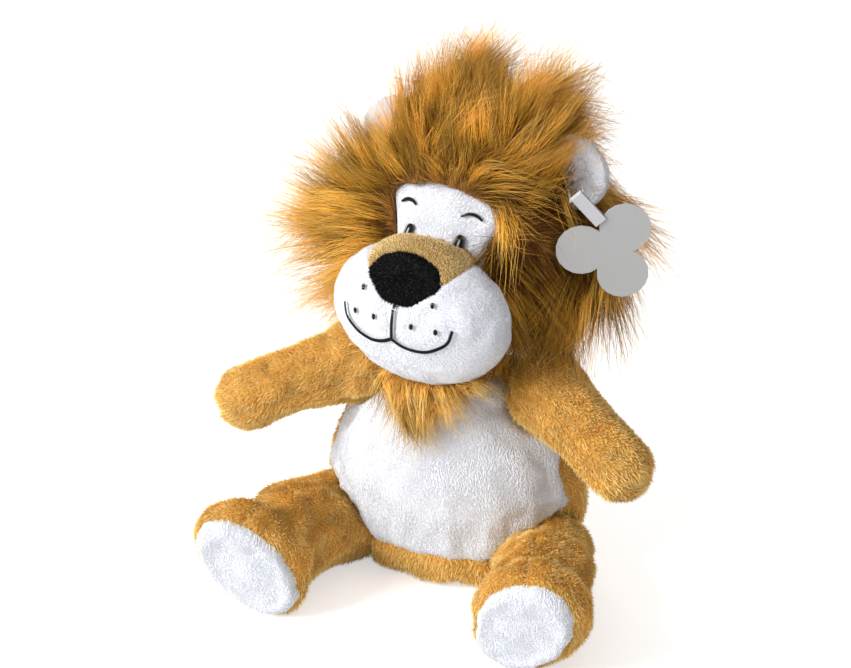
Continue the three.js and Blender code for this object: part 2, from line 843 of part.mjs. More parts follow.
function embroideryPieces(side) {
  const eyeOutline = roundOutline(eyeOut, eyeLevel, eyeHalfWidth, eyeHalfHeight, 20);
  const dot = roundOutline(eyeOut, highlightLevel, highlightRadius, highlightRadius, 10);
  const behindBridge = grown(muzzleForm, gap);
  const roundDot = blockOf(drawnIn(dot, -gap), -overrun, skullBack);
  const brow = curvePoints(
    [
      [browIn, browInLevel],
      [(browIn + browOut) / 2, (browInLevel + browOutLevel) / 2 + browRise],
      [browOut, browOutLevel],
    ],
    8,
  );
  const whiskers = [
    ["upper", whiskerUpOut, whiskerUpLevel],
    ["inner", whiskerInOut, whiskerInLevel],
    ["outer", whiskerSideOut, whiskerSideLevel],
  ];
  return [
    pieceOf("eye_" + side, cutBy(stitched(skullForm, eyeOutline), [behindBridge, roundDot]), darkThread),
    pieceOf("eye_highlight_" + side, stitched(skullForm, dot).subtract(behindBridge), whiteThread),
    pieceOf("brow_" + side, stitched(skullForm, strokeOutline(brow, browWidth)), darkThread),
    ...whiskers.map(([place, out, level]) =>
      pieceOf(
        "whisker_dot_" + side + "_" + place,
        stitched(muzzleForm, roundOutline(out, level, whiskerRadius, whiskerRadius, 8)),
        darkThread,
      ),
    ),
  ];
}

// The stitched mouth: a line down from the nose, and a smile that dips on each side of it.
function mouthPiece() {
  const half = [
    [smileLowHalf, smileLow],
    [smileMidHalf, smileMid],
    [smileHalf, smileCorner],
  ];
  const mirroredHalf = half.map(([x, z]) => [-x, z]).reverse();
  const smile = strokeOutline(curvePoints([...mirroredHalf, [0, mouthLevel], ...half], 28), mouthWidth);
  const drop = strokeOutline(
    [new THREE.Vector2(0, noseFoot + mouthWidth), new THREE.Vector2(0, mouthLevel)],
    mouthWidth,
  );
  const roundNose = blockOf(drawnIn(noseOutline, -gap), -overrun, -bridgeForward);
  const line = stitched(muzzleForm, smile).add(stitched(muzzleForm, drop)).subtract(roundNose);
  return pieceOf("mouth_line", line, darkThread);
}

// The mane: a thick coat of locks round the face that closes over the back of the head.
function maneSkin() {
  const reachAt = readings(maneReachShares);
  const steps = tuftCount * 4;
  const ring = ([depth, radius, lock, lean]) =>
    Array.from({ length: steps }, (_, step) => {
      const angle = (2 * Math.PI * step) / steps;
      const crown = Math.sin(angle);
      const fromCrown = Math.abs(THREE.MathUtils.euclideanModulo(angle + Math.PI / 2, 2 * Math.PI) - Math.PI);
      const valley = Math.abs(((step + 2) % 4) - 2) / 2;
      const aside = -Math.cos(angle);
      const spread = 1 + (aside > 0 ? maneLeftSpread : maneRightSpread) * aside ** 2;
      const dense = spread * reachAt(fromCrown / Math.PI)[0];
      const reach = maneRadius * radius * dense * (1 - lockDepth * lock * valley);
      const sideLean = (aside > 0 ? maneLeftLean : maneRightLean) * aside ** 4;
      const forward = lean * (maneLean * Math.max(crown, 0) ** 2 + sideLean);
      const swept = maneSweep * lean * Math.max(crown, 0) ** 2;
      const y = THREE.MathUtils.lerp(maneFront, maneBack, depth) - forward;
      return at(reach * aside + swept, y, maneLevel + reach * crown);
    });
  const rings = maneDepthShares.map(ring);
  return skinOver(rings, at(0, maneFront, maneLevel), at(0, maneBack, maneLevel));
}

const earCentre = at(earOut, earBack, earLevel);

function maneSolid() {
  const lining = grown(skullForm, -fabric);
  const ears = [earCentre, mirrorX(earCentre)].map((centre) => moved(earSkin(centre), gap * 2));
  const face = blockOf(faceOutline, -overrun, skullBack);
  const hem = beyond(at(0, 0, maneHem), at(0, 0, -1));
  return cutBy(solidOf(maneSkin()), [
    lining,
    face,
    grown(muzzleForm, gap),
    hem,
    socket(neckCentre, neckRadius),
    ...ears,
  ]);
}

function manePieces() {
  const mane = maneSolid();
  const back = beyond(at(0, maneSplit + gap / 2, 0), backwards);
  const front = beyond(at(0, maneSplit - gap / 2, 0), at(0, -1, 0));
  const halves = mane.intersect(front);
  return [
    pieceOf("mane_left", halves.intersect(leftOfMiddle(gap / 2)), maneFur),
    pieceOf("mane_right", halves.intersect(leftOfMiddle(gap / 2).mirror([1, 0, 0])), maneFur),
    pieceOf("mane_back", mane.intersect(back), maneFur),
    beardPiece(),
  ];
}

function beardPiece() {
  const curve = new THREE.LineCurve3(at(0, -beardTopForward, beardTop), at(0, -beardTipForward, beardTip));
  const skin = tube({
    curve,
    sizeAt: (share) => [
      THREE.MathUtils.lerp(beardHalfWidth, beardTipRadius, share),
      THREE.MathUtils.lerp(beardHalfDepth, beardTipRadius, share),
    ],
    reference: backwards,
    startDome: beardHalfDepth,
    endDome: beardTipRadius,
    steps: 4,
    domeSteps: 2,
    sides: roundSides,
    startPower: 1,
    endPower: 1,
  });
  const clear = [grown(muzzleForm, gap), socket(neckCentre, neckRadius)];
  return pieceOf("chin_tuft", cutBy(solidOf(skin), clear), maneFur);
}

function earSkin(centre) {
  return globe(centre, at(earRadius, earHalfDepth, earRadius));
}

// An ear: a round back and a hollowed lining, set on the side of the head.
function earPieces(side) {
  const hollow = globe(
    at(earOut, earBack - hollowForward, earLevel - hollowDrop),
    at(hollowRadius, hollowHalfDepth, hollowRadius),
  );
  const ear = solidOf(earSkin(earCentre)).subtract(grown(skullForm, gap));
  const front = beyond(at(0, earBack - gap / 2, 0), at(0, -1, 0));
  const rear = beyond(at(0, earBack + gap / 2, 0), backwards);
  const lining = ear.intersect(front).subtract(solidOf(hollow));
  const cut = side === "left" ? lining.subtract(threadSolid(gap)) : lining;
  return [
    pieceOf("ear_" + side + "_lining", cut, white),
    pieceOf("ear_" + side + "_back", ear.intersect(rear), white),
  ];
}

// The hang tag's own frame: x and z in the plane of the card, -z down the strap, y back into the head.
function tagFrame() {
  const frame = new THREE.Group();
  frame.position.set(threadOut, threadBack, threadLevel);
  frame.rotation.set(0, degrees(-tagSlant), degrees(tagTurn), "ZYX");
  frame.updateMatrix();
  return frame;
}

function rod(from, to, radius) {
  const along = to.clone().sub(from);
  const body = new THREE.CylinderGeometry(radius, radius, along.length(), 8);
  const way = new THREE.Quaternion().setFromUnitVectors(backwards, along.clone().normalize());
  body.applyQuaternion(way);
  const middle = from.clone().add(to).multiplyScalar(1 / 2);
  body.translate(middle.x, middle.y, middle.z);
  return body;
}

// The thread loop that the strap hangs from, its two ends sewn into the ear, in the head's frame.
function threadSolid(extra) {
  const radius = threadRadius + extra;
  const reach = threadReach + extra;
  const ends = [-threadHalf, threadHalf];
  const bar = rod(at(-threadHalf - threadRadius, 0, 0), at(threadHalf + threadRadius, 0, 0), radius);
  const legs = ends.map((x) => rod(at(x, 0, 0), at(x, reach, 0), radius));
  const matrix = tagFrame().matrix;
  return joined([bar, ...legs].map((part) => solidOf(part.applyMatrix4(matrix))));
}

// The strap is one strip folded over the thread, with the card held between its two legs.
function strapSolid() {
  const inner = threadRadius + gap;
  const outer = inner + strapThickness;
  const profile = new THREE.Shape();
  profile.moveTo(-outer, -strapLength);
  profile.lineTo(-outer, 0);
  profile.absarc(0, 0, outer, Math.PI, 0, true);
  profile.lineTo(outer, -strapTail);
  profile.lineTo(inner, -strapTail);
  profile.lineTo(inner, 0);
  profile.absarc(0, 0, inner, 0, Math.PI, false);
  profile.lineTo(-inner, -strapLength);
  profile.closePath();
  const strip = new THREE.ExtrudeGeometry(profile, { depth: strapWidth, bevelEnabled: false, curveSegments: 8 });
  strip.translate(0, 0, -strapWidth / 2);
  strip.rotateX(Math.PI / 2);
  strip.rotateZ(Math.PI / 2);
  return solidOf(strip);
}

function cardSolid() {
  const disc = (x, z, radius) => {
    const body = new THREE.CylinderGeometry(radius, radius, cardThickness, fineSides);
    body.translate(x, 0, z);
    return solidOf(body);
  };
  const lobes = [0, 1, 2].map((lobe) => {
    const angle = degrees(lobeTurn) + (2 * Math.PI * lobe) / 3;
    return disc(cardAside + lobeReach * Math.cos(angle), -cardDown + lobeReach * Math.sin(angle), lobeRadius);
  });
  const tab = new THREE.BoxGeometry(strapWidth, cardThickness, strapWidth);
  tab.translate(0, 0, -strapTail + strapWidth / 4);
  return joined([disc(cardAside, -cardDown, cardMiddleRadius), ...lobes, solidOf(tab)]);
}

function tagPieces() {
  const frame = tagFrame();
  frame.add(pieceOf("tag_card", cardSolid(), greyCard), pieceOf("tag_strap", strapSolid(), strapWhite));
  return frame;
}

function placed(pieces, centre) {
  const group = new THREE.Group();
  group.add(...pieces);
  group.position.copy(centre);
  return group;
}

function limbs(make, centre) {
  return sides.map((side) => {
    const limb = placed(make(side), centre);
    return side === "left" ? limb : mirrored([limb]);
  });
}

function pairOf(make) {
  return sides.map((side) => (side === "left" ? placed(make(side), at(0, 0, 0)) : mirrored(make(side))));
}

const head = new THREE.Group();
head.rotation.z = degrees(headTurn);
head.add(...facePieces(), mouthPiece(), ...manePieces());
head.add(...pairOf(embroideryPieces), ...pairOf(earPieces));
head.add(pieceOf("tag_thread", threadSolid(0), clearThread), tagPieces());

const lion = new THREE.Group();
lion.add(...trunkPieces(), head);
lion.add(...limbs(armPieces, shoulderCentre), ...limbs(legPieces, hipCentre));
lion.add(placed(tailPieces(), tailCentre));

export default lion;
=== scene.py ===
"""Looks of a seated plush lion: short pile, a long-pile mane, an embroidered face and a hang tag."""

import math
from collections import namedtuple

import bmesh
import bpy
import numpy as np
from mathutils import Matrix, Vector
from mathutils.bvhtree import BVHTree


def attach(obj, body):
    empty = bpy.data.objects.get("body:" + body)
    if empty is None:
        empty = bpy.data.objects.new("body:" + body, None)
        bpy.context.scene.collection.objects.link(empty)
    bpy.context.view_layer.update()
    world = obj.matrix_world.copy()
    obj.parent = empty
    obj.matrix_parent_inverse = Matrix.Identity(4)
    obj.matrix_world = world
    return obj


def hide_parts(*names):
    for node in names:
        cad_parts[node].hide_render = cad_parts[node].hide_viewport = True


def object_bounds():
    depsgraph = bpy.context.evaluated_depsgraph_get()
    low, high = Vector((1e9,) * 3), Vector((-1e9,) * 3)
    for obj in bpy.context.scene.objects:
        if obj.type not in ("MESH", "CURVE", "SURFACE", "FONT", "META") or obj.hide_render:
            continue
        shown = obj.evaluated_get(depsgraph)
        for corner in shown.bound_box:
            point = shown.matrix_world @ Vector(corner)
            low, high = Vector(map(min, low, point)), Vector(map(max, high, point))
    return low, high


bl_info = {
    "name": "Plush lion",
    "version": (1, 0, 0),
    "blender": (4, 5, 0),
    "location": "3D View > Sidebar > Plush lion",
    "description": "Builds the pile, the stitching and the tag of a seated plush lion round its packed frame",
    "category": "Object",
}

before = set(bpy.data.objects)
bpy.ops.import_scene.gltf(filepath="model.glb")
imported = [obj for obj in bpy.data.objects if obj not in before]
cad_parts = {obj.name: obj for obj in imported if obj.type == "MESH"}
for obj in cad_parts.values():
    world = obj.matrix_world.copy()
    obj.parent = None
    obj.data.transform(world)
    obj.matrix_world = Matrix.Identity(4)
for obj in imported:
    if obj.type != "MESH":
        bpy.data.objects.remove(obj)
cad_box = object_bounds()

MM = 0.001
PER_SQUARE_MM = 1e6
NO_LENGTH = 1e-9


def linear(code):
    """The linear colour, with alpha, of an sRGB hex value."""
    parts = [int(code[i:i + 2], 16) / 255 for i in (1, 3, 5)]
    return tuple(c / 12.92 if c <= 0.04045 else ((c + 0.055) / 1.055) ** 2.4 for c in parts) + (1.0,)


def colour(label, description, code):
    """A colour property whose default is an sRGB hex value."""
    return bpy.props.FloatVectorProperty(
        name=label, description=description, subtype="COLOR", size=4, min=0, max=1, default=linear(code))


def length(label, description, millimetres):
    """A length property in metres whose default is given in millimetres."""
    return bpy.props.FloatProperty(
        name=label, description=description, subtype="DISTANCE", unit="LENGTH", min=0, precision=5,
        default=millimetres * MM)


class LionPile(bpy.types.PropertyGroup):
    """Sizes of the pile, the seams and the stitches."""

    body_length: length("Body pile", "Length of the short pile on trunk, arms and legs", 2.6)
    face_length: length("Face pile", "Length of the fine pile on the face and soles", 1.2)
    nose_length: length("Nose pile", "Length of the pile on the nose", 1.2)
    strand_width: length("Strand width", "Thickness at the root of a tuft of short pile", 0.3)
    mane_length: length("Mane length", "Length of the long pile of the mane", 48)
    mane_width: length("Mane strand", "Thickness at the root of a strand of the mane", 0.25)
    lock_size: length("Lock size", "Distance between the middles of the locks of the mane", 6)
    seam_depth: length("Seam depth", "How far the panels draw in along a seam", 1.5)
    seam_width: length("Seam width", "How far from a seam the panels draw in", 3.2)
    thread: length("Thread", "Width of one satin stitch", 0.42)
    body_density: bpy.props.FloatProperty(
        name="Body density", description="Tufts of short pile on a square millimetre", default=1.05, min=0)
    face_density: bpy.props.FloatProperty(
        name="Face density", description="Tufts of fine pile on a square millimetre", default=1.35, min=0)
    mane_count: bpy.props.IntProperty(
        name="Mane strands", description="Strands in one piece of the mane", default=7600, min=1)


class LionColours(bpy.types.PropertyGroup):
    """Colours of the plush, the threads and the tag."""

    golden: colour("Golden plush", "Middle of the golden pile", "#FADA82")
    golden_tip: colour("Golden tips", "Tips of the golden pile", "#FEE9B2")
    # Roots darker than the middle are painted shade between the tufts, and the backing under the pile takes
    # this colour too
    golden_root_shade: colour("Golden roots", "Roots of the golden pile", "#DCA346")
    white: colour("White plush", "Middle of the white pile", "#F3F5FA")
    white_tip: colour("White tips", "Tips of the white pile", "#FAFBFE")
    # Roots darker than the middle are painted shade between the tufts, and the backing under the pile takes
    # this colour too
    white_root_shade: colour("White roots", "Roots of the white pile", "#ECEEF4")
    tan: colour("Bridge plush", "Middle of the pile on the nose bridge", "#F6DC9E")
    tan_tip: colour("Bridge tips", "Tips of the pile on the nose bridge", "#FBEBC4")
    # Roots darker than the middle are painted shade between the tufts, and the backing under the pile takes
    # this colour too
    tan_root_shade: colour("Bridge roots", "Roots of the pile on the nose bridge", "#AE8A4A")
    black: colour("Black plush", "Middle of the pile on the nose", "#040404")
    black_tip: colour("Black tips", "Tips of the pile on the nose", "#0A0A0B")
    mane: colour("Mane", "Middle of the strands of the mane", "#F0B23E")
    mane_tip: colour("Mane tips", "Tips of the strands of the mane", "#F7CF7C")
    # Roots darker than the middle are painted shade between the strands and the locks
    mane_root_shade: colour("Mane roots", "Roots of the strands of the mane", "#4E2D06")
    # The skin is darker than the mane: partly its own colour, partly painted shade under the strands
    mane_skin_shade: colour("Mane skin", "The knitted skin that the mane grows from", "#946225")
    thread: colour("Dark thread", "Thread of eyes, brows and mouth", "#121011")
    white_thread: colour("White thread", "Thread of the eye highlights", "#F4F4F4")
    card: colour("Card", "Card of the hang tag", "#B8B8B8")
    strap: colour("Strap", "Folded strap of the hang tag", "#CDCDD2")
    nylon: colour("Nylon thread", "Thread loop of the hang tag", "#E6E6EA")
    floor: colour("Floor", "Plain floor of the stage", "#FFFFFF")


# Building of node trees


def add(tree, kind, inputs=None, **settings):
    """Adds a node to a tree, with its settings and with its inputs linked or set."""
    made = tree.nodes.new(kind)
    for name, value in settings.items():
        setattr(made, name, value)
    for key, value in (inputs or {}).items():
        socket = made.inputs[key]
        if isinstance(value, bpy.types.NodeSocket):
            tree.links.new(value, socket)
        else:
            socket.default_value = value
    return made


def new_tree(name, inputs):
    """A geometry tree with named inputs, its input node and the function that closes it."""
    tree = bpy.data.node_groups.new(name, "GeometryNodeTree")
    tree.interface.new_socket(name="Geometry", in_out="OUTPUT", socket_type="NodeSocketGeometry")
    for label, kind in inputs:
        tree.interface.new_socket(name=label, in_out="INPUT", socket_type="NodeSocket" + kind)
    source = tree.nodes.new("NodeGroupInput")

    def close(geometry):
        end = tree.nodes.new("NodeGroupOutput")
        tree.links.new(geometry, end.inputs[0])
        return tree

    return tree, source.outputs, close


def attribute(tree, name, kind="FLOAT"):
    """The value of a named attribute."""
    return add(tree, "GeometryNodeInputNamedAttribute", {"Name": name}, data_type=kind).outputs["Attribute"]


def stored(tree, geometry, name, value, domain="POINT", kind="FLOAT"):
    """Geometry with a named attribute added to it."""
    return add(tree, "GeometryNodeStoreNamedAttribute", {"Geometry": geometry, "Name": name, "Value": value},
               domain=domain, data_type=kind).outputs[0]


def scaled(tree, vector, factor):
    """A vector times a number."""
    return add(tree, "ShaderNodeVectorMath", {0: vector, "Scale": factor}, operation="SCALE").outputs[0]


def summed(tree, first, second):
    """The sum of two vectors."""
    return add(tree, "ShaderNodeVectorMath", {0: first, 1: second}).outputs[0]


def times(tree, first, second):
    """The product of two numbers."""
    return add(tree, "ShaderNodeMath", {0: first, 1: second}, operation="MULTIPLY").outputs[0]


def power(tree, base, exponent):
    """A number raised to a power."""
    return add(tree, "ShaderNodeMath", {0: base, 1: exponent}, operation="POWER").outputs[0]


def anywhere(tree, seed):
    """A random vector whose parts lie between -1 and 1."""
    return add(tree, "FunctionNodeRandomValue", {0: (-1, -1, -1), 1: (1, 1, 1), 8: seed},
               data_type="FLOAT_VECTOR").outputs[0]


def chance(tree, low, high, seed):
    """A random number from low to high."""
    return add(tree, "FunctionNodeRandomValue", {2: low, 3: high, 8: seed}, data_type="FLOAT").outputs[1]


def mapped(tree, value, low, high, first, last):
    """A number moved from one range into another and held in it."""
    return add(tree, "ShaderNodeMapRange", {0: value, 1: low, 2: high, 3: first, 4: last}).outputs[0]


def scattered(tree, given):
    """Points strewn over the skin, as many as its density and its mask ask for."""
    density = times(tree, given["Density"], attribute(tree, "pile"))
    return add(tree, "GeometryNodeDistributePointsOnFaces",
               {"Mesh": given["Skin"], "Density": density, "Seed": given["Seed"]}, distribute_method="RANDOM")


def with_skin(tree, given, pile):
    """Pile and the skin that it grows from, each with its own material, as one mesh."""
    pile = add(tree, "GeometryNodeSetMaterial",
               {"Geometry": pile, "Material": given["Pile material"]}).outputs[0]
    skin = add(tree, "GeometryNodeSetMaterial",
               {"Geometry": given["Skin"], "Material": given["Skin material"]}).outputs[0]
    both = add(tree, "GeometryNodeJoinGeometry")
    tree.links.new(pile, both.inputs[0])
    tree.links.new(skin, both.inputs[0])
    return add(tree, "GeometryNodeRealizeInstances", {"Geometry": both.outputs[0]}).outputs[0]


# Shortest and longest tuft of short pile
TUFT_LENGTH_SHARES = (0.65, 1.25)


def short_pile_tree():
    """Short pile: a straight tuft at each point of the skin, leaning the way that the pile is brushed."""
    tree, given, close = new_tree("Short pile", (
        ("Skin", "Geometry"), ("Density", "Float"), ("Length", "Float"), ("Width", "Float"),
        ("Lean", "Float"), ("Scatter", "Float"), ("Seed", "Int"),
        ("Skin material", "Material"), ("Pile material", "Material")))
    spread = scattered(tree, given)
    brushed = scaled(tree, attribute(tree, "comb", "FLOAT_VECTOR"), given["Lean"])
    loose = scaled(tree, anywhere(tree, given["Seed"]), given["Scatter"])
    heading = summed(tree, summed(tree, spread.outputs["Normal"], brushed), loose)
    turn = add(tree, "FunctionNodeAlignRotationToVector", {"Vector": heading}, axis="Z").outputs[0]
    tuft = add(tree, "GeometryNodeMeshCone",
               {"Vertices": 3, "Side Segments": 1, "Radius Top": 0.0, "Radius Bottom": 1.0, "Depth": 1.0},
               fill_type="NGON").outputs["Mesh"]
    place = add(tree, "GeometryNodeInputPosition").outputs[0]
    height = add(tree, "ShaderNodeSeparateXYZ", {0: place}).outputs["Z"]
    tuft = stored(tree, tuft, "along", height)
    reach = times(tree, given["Length"], chance(tree, *TUFT_LENGTH_SHARES, given["Seed"]))
    size = add(tree, "ShaderNodeCombineXYZ",
               {"X": given["Width"], "Y": given["Width"], "Z": reach}).outputs[0]
    tufts = add(tree, "GeometryNodeInstanceOnPoints", {
        "Points": spread.outputs["Points"], "Instance": tuft, "Rotation": turn, "Scale": size}).outputs[0]
    tufts = stored(tree, tufts, "tint", chance(tree, 0, 1, given["Seed"]), "INSTANCE")
    tufts = add(tree, "GeometryNodeRealizeInstances", {"Geometry": tufts}).outputs[0]
    return close(with_skin(tree, given, tufts))


# How clear long pile lies of what it rests on, and how deep in it a point is still moved out
LAID_CLEAR = 2.5 * MM
LAID_DEEPEST = 20 * MM


def laid_on(tree, support, place):
    """Points inside an object, moved out onto its surface unless they are hidden deep in it."""
    under = add(tree, "GeometryNodeObjectInfo", {"Object": support}).outputs["Geometry"]
    touch = add(tree, "GeometryNodeProximity", {"Geometry": under, "Sample Position": place})
    facing = add(tree, "GeometryNodeInputNormal").outputs[0]
    facing = add(tree, "GeometryNodeSampleNearestSurface",
                 {"Mesh": under, "Value": facing, "Sample Position": place},
                 data_type="FLOAT_VECTOR").outputs[0]
    offset = add(tree, "ShaderNodeVectorMath", {0: place, 1: touch.outputs["Position"]},
                 operation="SUBTRACT").outputs[0]
    gap = add(tree, "ShaderNodeVectorMath", {0: offset, 1: facing}, operation="DOT_PRODUCT").outputs["Value"]
    lift = add(tree, "ShaderNodeMath", {0: LAID_CLEAR, 1: gap}, operation="SUBTRACT").outputs[0]
    lift = add(tree, "ShaderNodeClamp", {0: lift, 1: 0.0, 2: LAID_DEEPEST}).outputs[0]
    return summed(tree, place, scaled(tree, facing, lift))


# Few strands are long, so that the locks end in thin tips: a higher rarity leaves fewer of them
STRAND_LENGTH_SHARES = (0.48, 1.2)
LONG_RARITY = 2.2
STRAND_POINTS = 4
TIP_WIDTH_SHARE = 0.12
# Strands with a tint below the first value hardly follow their lock, and those above the second do
LOOSE_TINTS = (0.1, 0.3)
LOOSE_PULL_SHARE = 0.1
LEADER_STRAY_SHARE = 1.8
LOCK_TINT_SHARE = 0.7
# How the pull of a lock and the sag grow along a strand
PULL_POWER = 1.1
SAG_POWER = 2.2
# Waves a metre over the skin, waves along a strand, and the frizz of each strand as a share of the wave
WAVES_OVER_SKIN = 60.0
WAVES_ALONG = (0.6, 0.9, 0.8)
FRIZZ_SHARE = 0.16
LENGTH_SEED = 7
TINT_SEED = 11
FRIZZ_SEED = 3


def long_pile_tree():
    """Long pile: curved strands that follow the comb, gather into locks and end in loose tips."""
    tree, given, close = new_tree("Long pile", (
        ("Skin", "Geometry"), ("Density", "Float"), ("Length", "Float"), ("Width", "Float"),
        ("Lift", "Float"), ("Droop", "Float"), ("Lock size", "Float"), ("Lock pull", "Float"),
        ("Wave", "Float"), ("Stray", "Float"), ("Rests on", "Object"), ("Seed", "Int"),
        ("Skin material", "Material"), ("Pile material", "Material")))
    comb = attribute(tree, "comb", "FLOAT_VECTOR")
    root = attribute(tree, "root", "FLOAT_VECTOR")

    def rooted(points, stray):
        """Points that carry their own root, heading and length."""
        lift = times(tree, given["Lift"], attribute(tree, "rise"))
        heading = summed(tree, scaled(tree, points.outputs["Normal"], lift), comb)
        heading = summed(tree, heading, scaled(tree, anywhere(tree, given["Seed"]), stray))
        heading = add(tree, "ShaderNodeVectorMath", {0: heading}, operation="NORMALIZE").outputs[0]
        place = add(tree, "GeometryNodeInputPosition").outputs[0]
        made = stored(tree, points.outputs["Points"], "root", place, kind="FLOAT_VECTOR")
        reach = times(tree, given["Length"], attribute(tree, "reach"))
        return stored(tree, made, "heading", scaled(tree, heading, reach), kind="FLOAT_VECTOR")

    guides = add(tree, "GeometryNodeDistributePointsOnFaces", {
        "Mesh": given["Skin"], "Distance Min": given["Lock size"], "Density Max": PER_SQUARE_MM,
        "Density Factor": attribute(tree, "pile"), "Seed": given["Seed"]}, distribute_method="POISSON")
    strands = rooted(scattered(tree, given), given["Stray"])
    leaders = rooted(guides, times(tree, given["Stray"], LEADER_STRAY_SHARE))
    leaders = stored(tree, leaders, "shade", chance(tree, 0, 1, given["Seed"]))
    few = power(tree, chance(tree, 0, 1, LENGTH_SEED), LONG_RARITY)
    strands = stored(tree, strands, "share", mapped(tree, few, 0, 1, *STRAND_LENGTH_SHARES))
    strands = stored(tree, strands, "tint", chance(tree, 0, 1, TINT_SEED))
    tight = mapped(tree, attribute(tree, "tint"), *LOOSE_TINTS, LOOSE_PULL_SHARE, 1.0)
    strands = stored(tree, strands, "tight", tight)
    near = add(tree, "GeometryNodeSampleNearest",
               {"Geometry": leaders, "Sample Position": root}, domain="POINT")

    def of_leader(value, kind="FLOAT_VECTOR"):
        """A value of the leader of the lock that a strand belongs to."""
        return add(tree, "GeometryNodeSampleIndex",
                   {"Geometry": leaders, "Value": value, "Index": near.outputs[0]},
                   data_type=kind, domain="POINT").outputs[0]

    heading = attribute(tree, "heading", "FLOAT_VECTOR")
    strands = stored(tree, strands, "lock_root", of_leader(root), kind="FLOAT_VECTOR")
    strands = stored(tree, strands, "lock_heading", of_leader(heading), kind="FLOAT_VECTOR")
    shade = of_leader(attribute(tree, "shade"), "FLOAT")
    both_tints = add(tree, "ShaderNodeMix",
                     {"Factor": LOCK_TINT_SHARE, 2: attribute(tree, "tint"), 3: shade}).outputs[0]
    strands = stored(tree, strands, "tint", both_tints)
    line = add(tree, "GeometryNodeCurvePrimitiveLine", {"Start": (0, 0, 0), "End": (0, 0, MM)}).outputs[0]
    line = add(tree, "GeometryNodeResampleCurve", {"Curve": line, "Count": STRAND_POINTS}).outputs[0]
    hairs = add(tree, "GeometryNodeInstanceOnPoints", {"Points": strands, "Instance": line}).outputs[0]
    hairs = add(tree, "GeometryNodeRealizeInstances", {"Geometry": hairs}).outputs[0]
    along = add(tree, "GeometryNodeSplineParameter").outputs["Factor"]
    reached = times(tree, along, attribute(tree, "share"))
    free = summed(tree, root, scaled(tree, heading, reached))
    lock_heading = attribute(tree, "lock_heading", "FLOAT_VECTOR")
    lock = summed(tree, attribute(tree, "lock_root", "FLOAT_VECTOR"), scaled(tree, lock_heading, reached))
    pull = times(tree, given["Lock pull"], attribute(tree, "tight"))
    pull = times(tree, pull, power(tree, along, PULL_POWER))
    place = add(tree, "ShaderNodeMix", {"Factor": pull, 4: free, 5: lock}, data_type="VECTOR").outputs[1]
    sag = times(tree, times(tree, given["Droop"], given["Length"]), power(tree, reached, SAG_POWER))
    place = summed(tree, place, scaled(tree, (0, 0, -1), sag))
    where = summed(tree, scaled(tree, root, WAVES_OVER_SKIN), scaled(tree, WAVES_ALONG, along))
    swirl = add(tree, "ShaderNodeTexNoise", {"Vector": where, "Scale": 1.0, "Detail": 1.0}).outputs["Color"]
    # A noise colour is about 0.5 in each part, and is moved down to swing about zero
    swirl = summed(tree, swirl, (-0.5, -0.5, -0.5))
    place = summed(tree, place, scaled(tree, swirl, times(tree, given["Wave"], along)))
    frizz = times(tree, times(tree, given["Wave"], FRIZZ_SHARE), along)
    place = summed(tree, place, scaled(tree, anywhere(tree, FRIZZ_SEED), frizz))
    place = laid_on(tree, given["Rests on"], place)
    hairs = add(tree, "GeometryNodeSetPosition", {"Geometry": hairs, "Position": place}).outputs[0]
    hairs = stored(tree, hairs, "along", along)
    thin = times(tree, given["Width"], mapped(tree, along, 0.0, 1.0, 1.0, TIP_WIDTH_SHARE))
    section = add(tree, "GeometryNodeCurvePrimitiveCircle", {"Resolution": 3, "Radius": 0.5}).outputs[0]
    solid = add(tree, "GeometryNodeCurveToMesh",
                {"Curve": hairs, "Profile Curve": section, "Scale": thin, "Fill Caps": True}).outputs[0]
    return close(with_skin(tree, given, solid))


# How high a stitch stands as a share of its width
STITCH_HEIGHT_SHARE = 1.7


def stitch_tree():
    """Satin stitches: a short rounded thread at each point, laid across its line."""
    tree, given, close = new_tree("Satin stitches", (
        ("Points", "Geometry"), ("Width", "Float"), ("Material", "Material")))
    bead = add(tree, "GeometryNodeMeshUVSphere", {"Segments": 6, "Rings": 4, "Radius": 0.5}).outputs["Mesh"]
    lift = attribute(tree, "lift", "FLOAT_VECTOR")
    across = attribute(tree, "across", "FLOAT_VECTOR")
    turn = add(tree, "FunctionNodeAlignRotationToVector", {"Vector": lift}, axis="Z").outputs[0]
    turn = add(tree, "FunctionNodeAlignRotationToVector", {"Rotation": turn, "Vector": across}, axis="X",
               pivot_axis="Z").outputs[0]
    height = times(tree, given["Width"], STITCH_HEIGHT_SHARE)
    size = add(tree, "ShaderNodeCombineXYZ",
               {"X": attribute(tree, "span"), "Y": given["Width"], "Z": height}).outputs[0]
    points = add(tree, "GeometryNodeMeshToPoints", {"Mesh": given["Points"]}).outputs[0]
    laid = add(tree, "GeometryNodeInstanceOnPoints",
               {"Points": points, "Instance": bead, "Rotation": turn, "Scale": size}).outputs[0]
    laid = add(tree, "GeometryNodeRealizeInstances", {"Geometry": laid}).outputs[0]
    laid = add(tree, "GeometryNodeSetMaterial", {"Geometry": laid, "Material": given["Material"]}).outputs[0]
    return close(laid)


def grown_by(obj, tree, values):
    """Runs a tree on an object with named values and keeps the result as a plain mesh."""
    modifier = obj.modifiers.new(tree.name, "NODES")
    modifier.node_group = tree
    for item in tree.interface.items_tree:
        if item.in_out == "INPUT" and item.name in values:
            modifier[item.identifier] = values[item.name]
    return in_room(settled(obj))


def settled(obj):
    """Puts what the modifiers make in place of the mesh, and takes the modifiers off."""
    graph = bpy.context.evaluated_depsgraph_get()
    made = bpy.data.meshes.new_from_object(
        obj.evaluated_get(graph), preserve_all_data_layers=True, depsgraph=graph)
    before = obj.data
    obj.modifiers.clear()
    obj.data = made
    bpy.data.meshes.remove(before)
    return obj


# Pile is held within this share of a side and this length past the solids
PROUD_SHARE = 0.03
PROUD = 9 * MM
LOWEST_TIP = 0.1 * MM


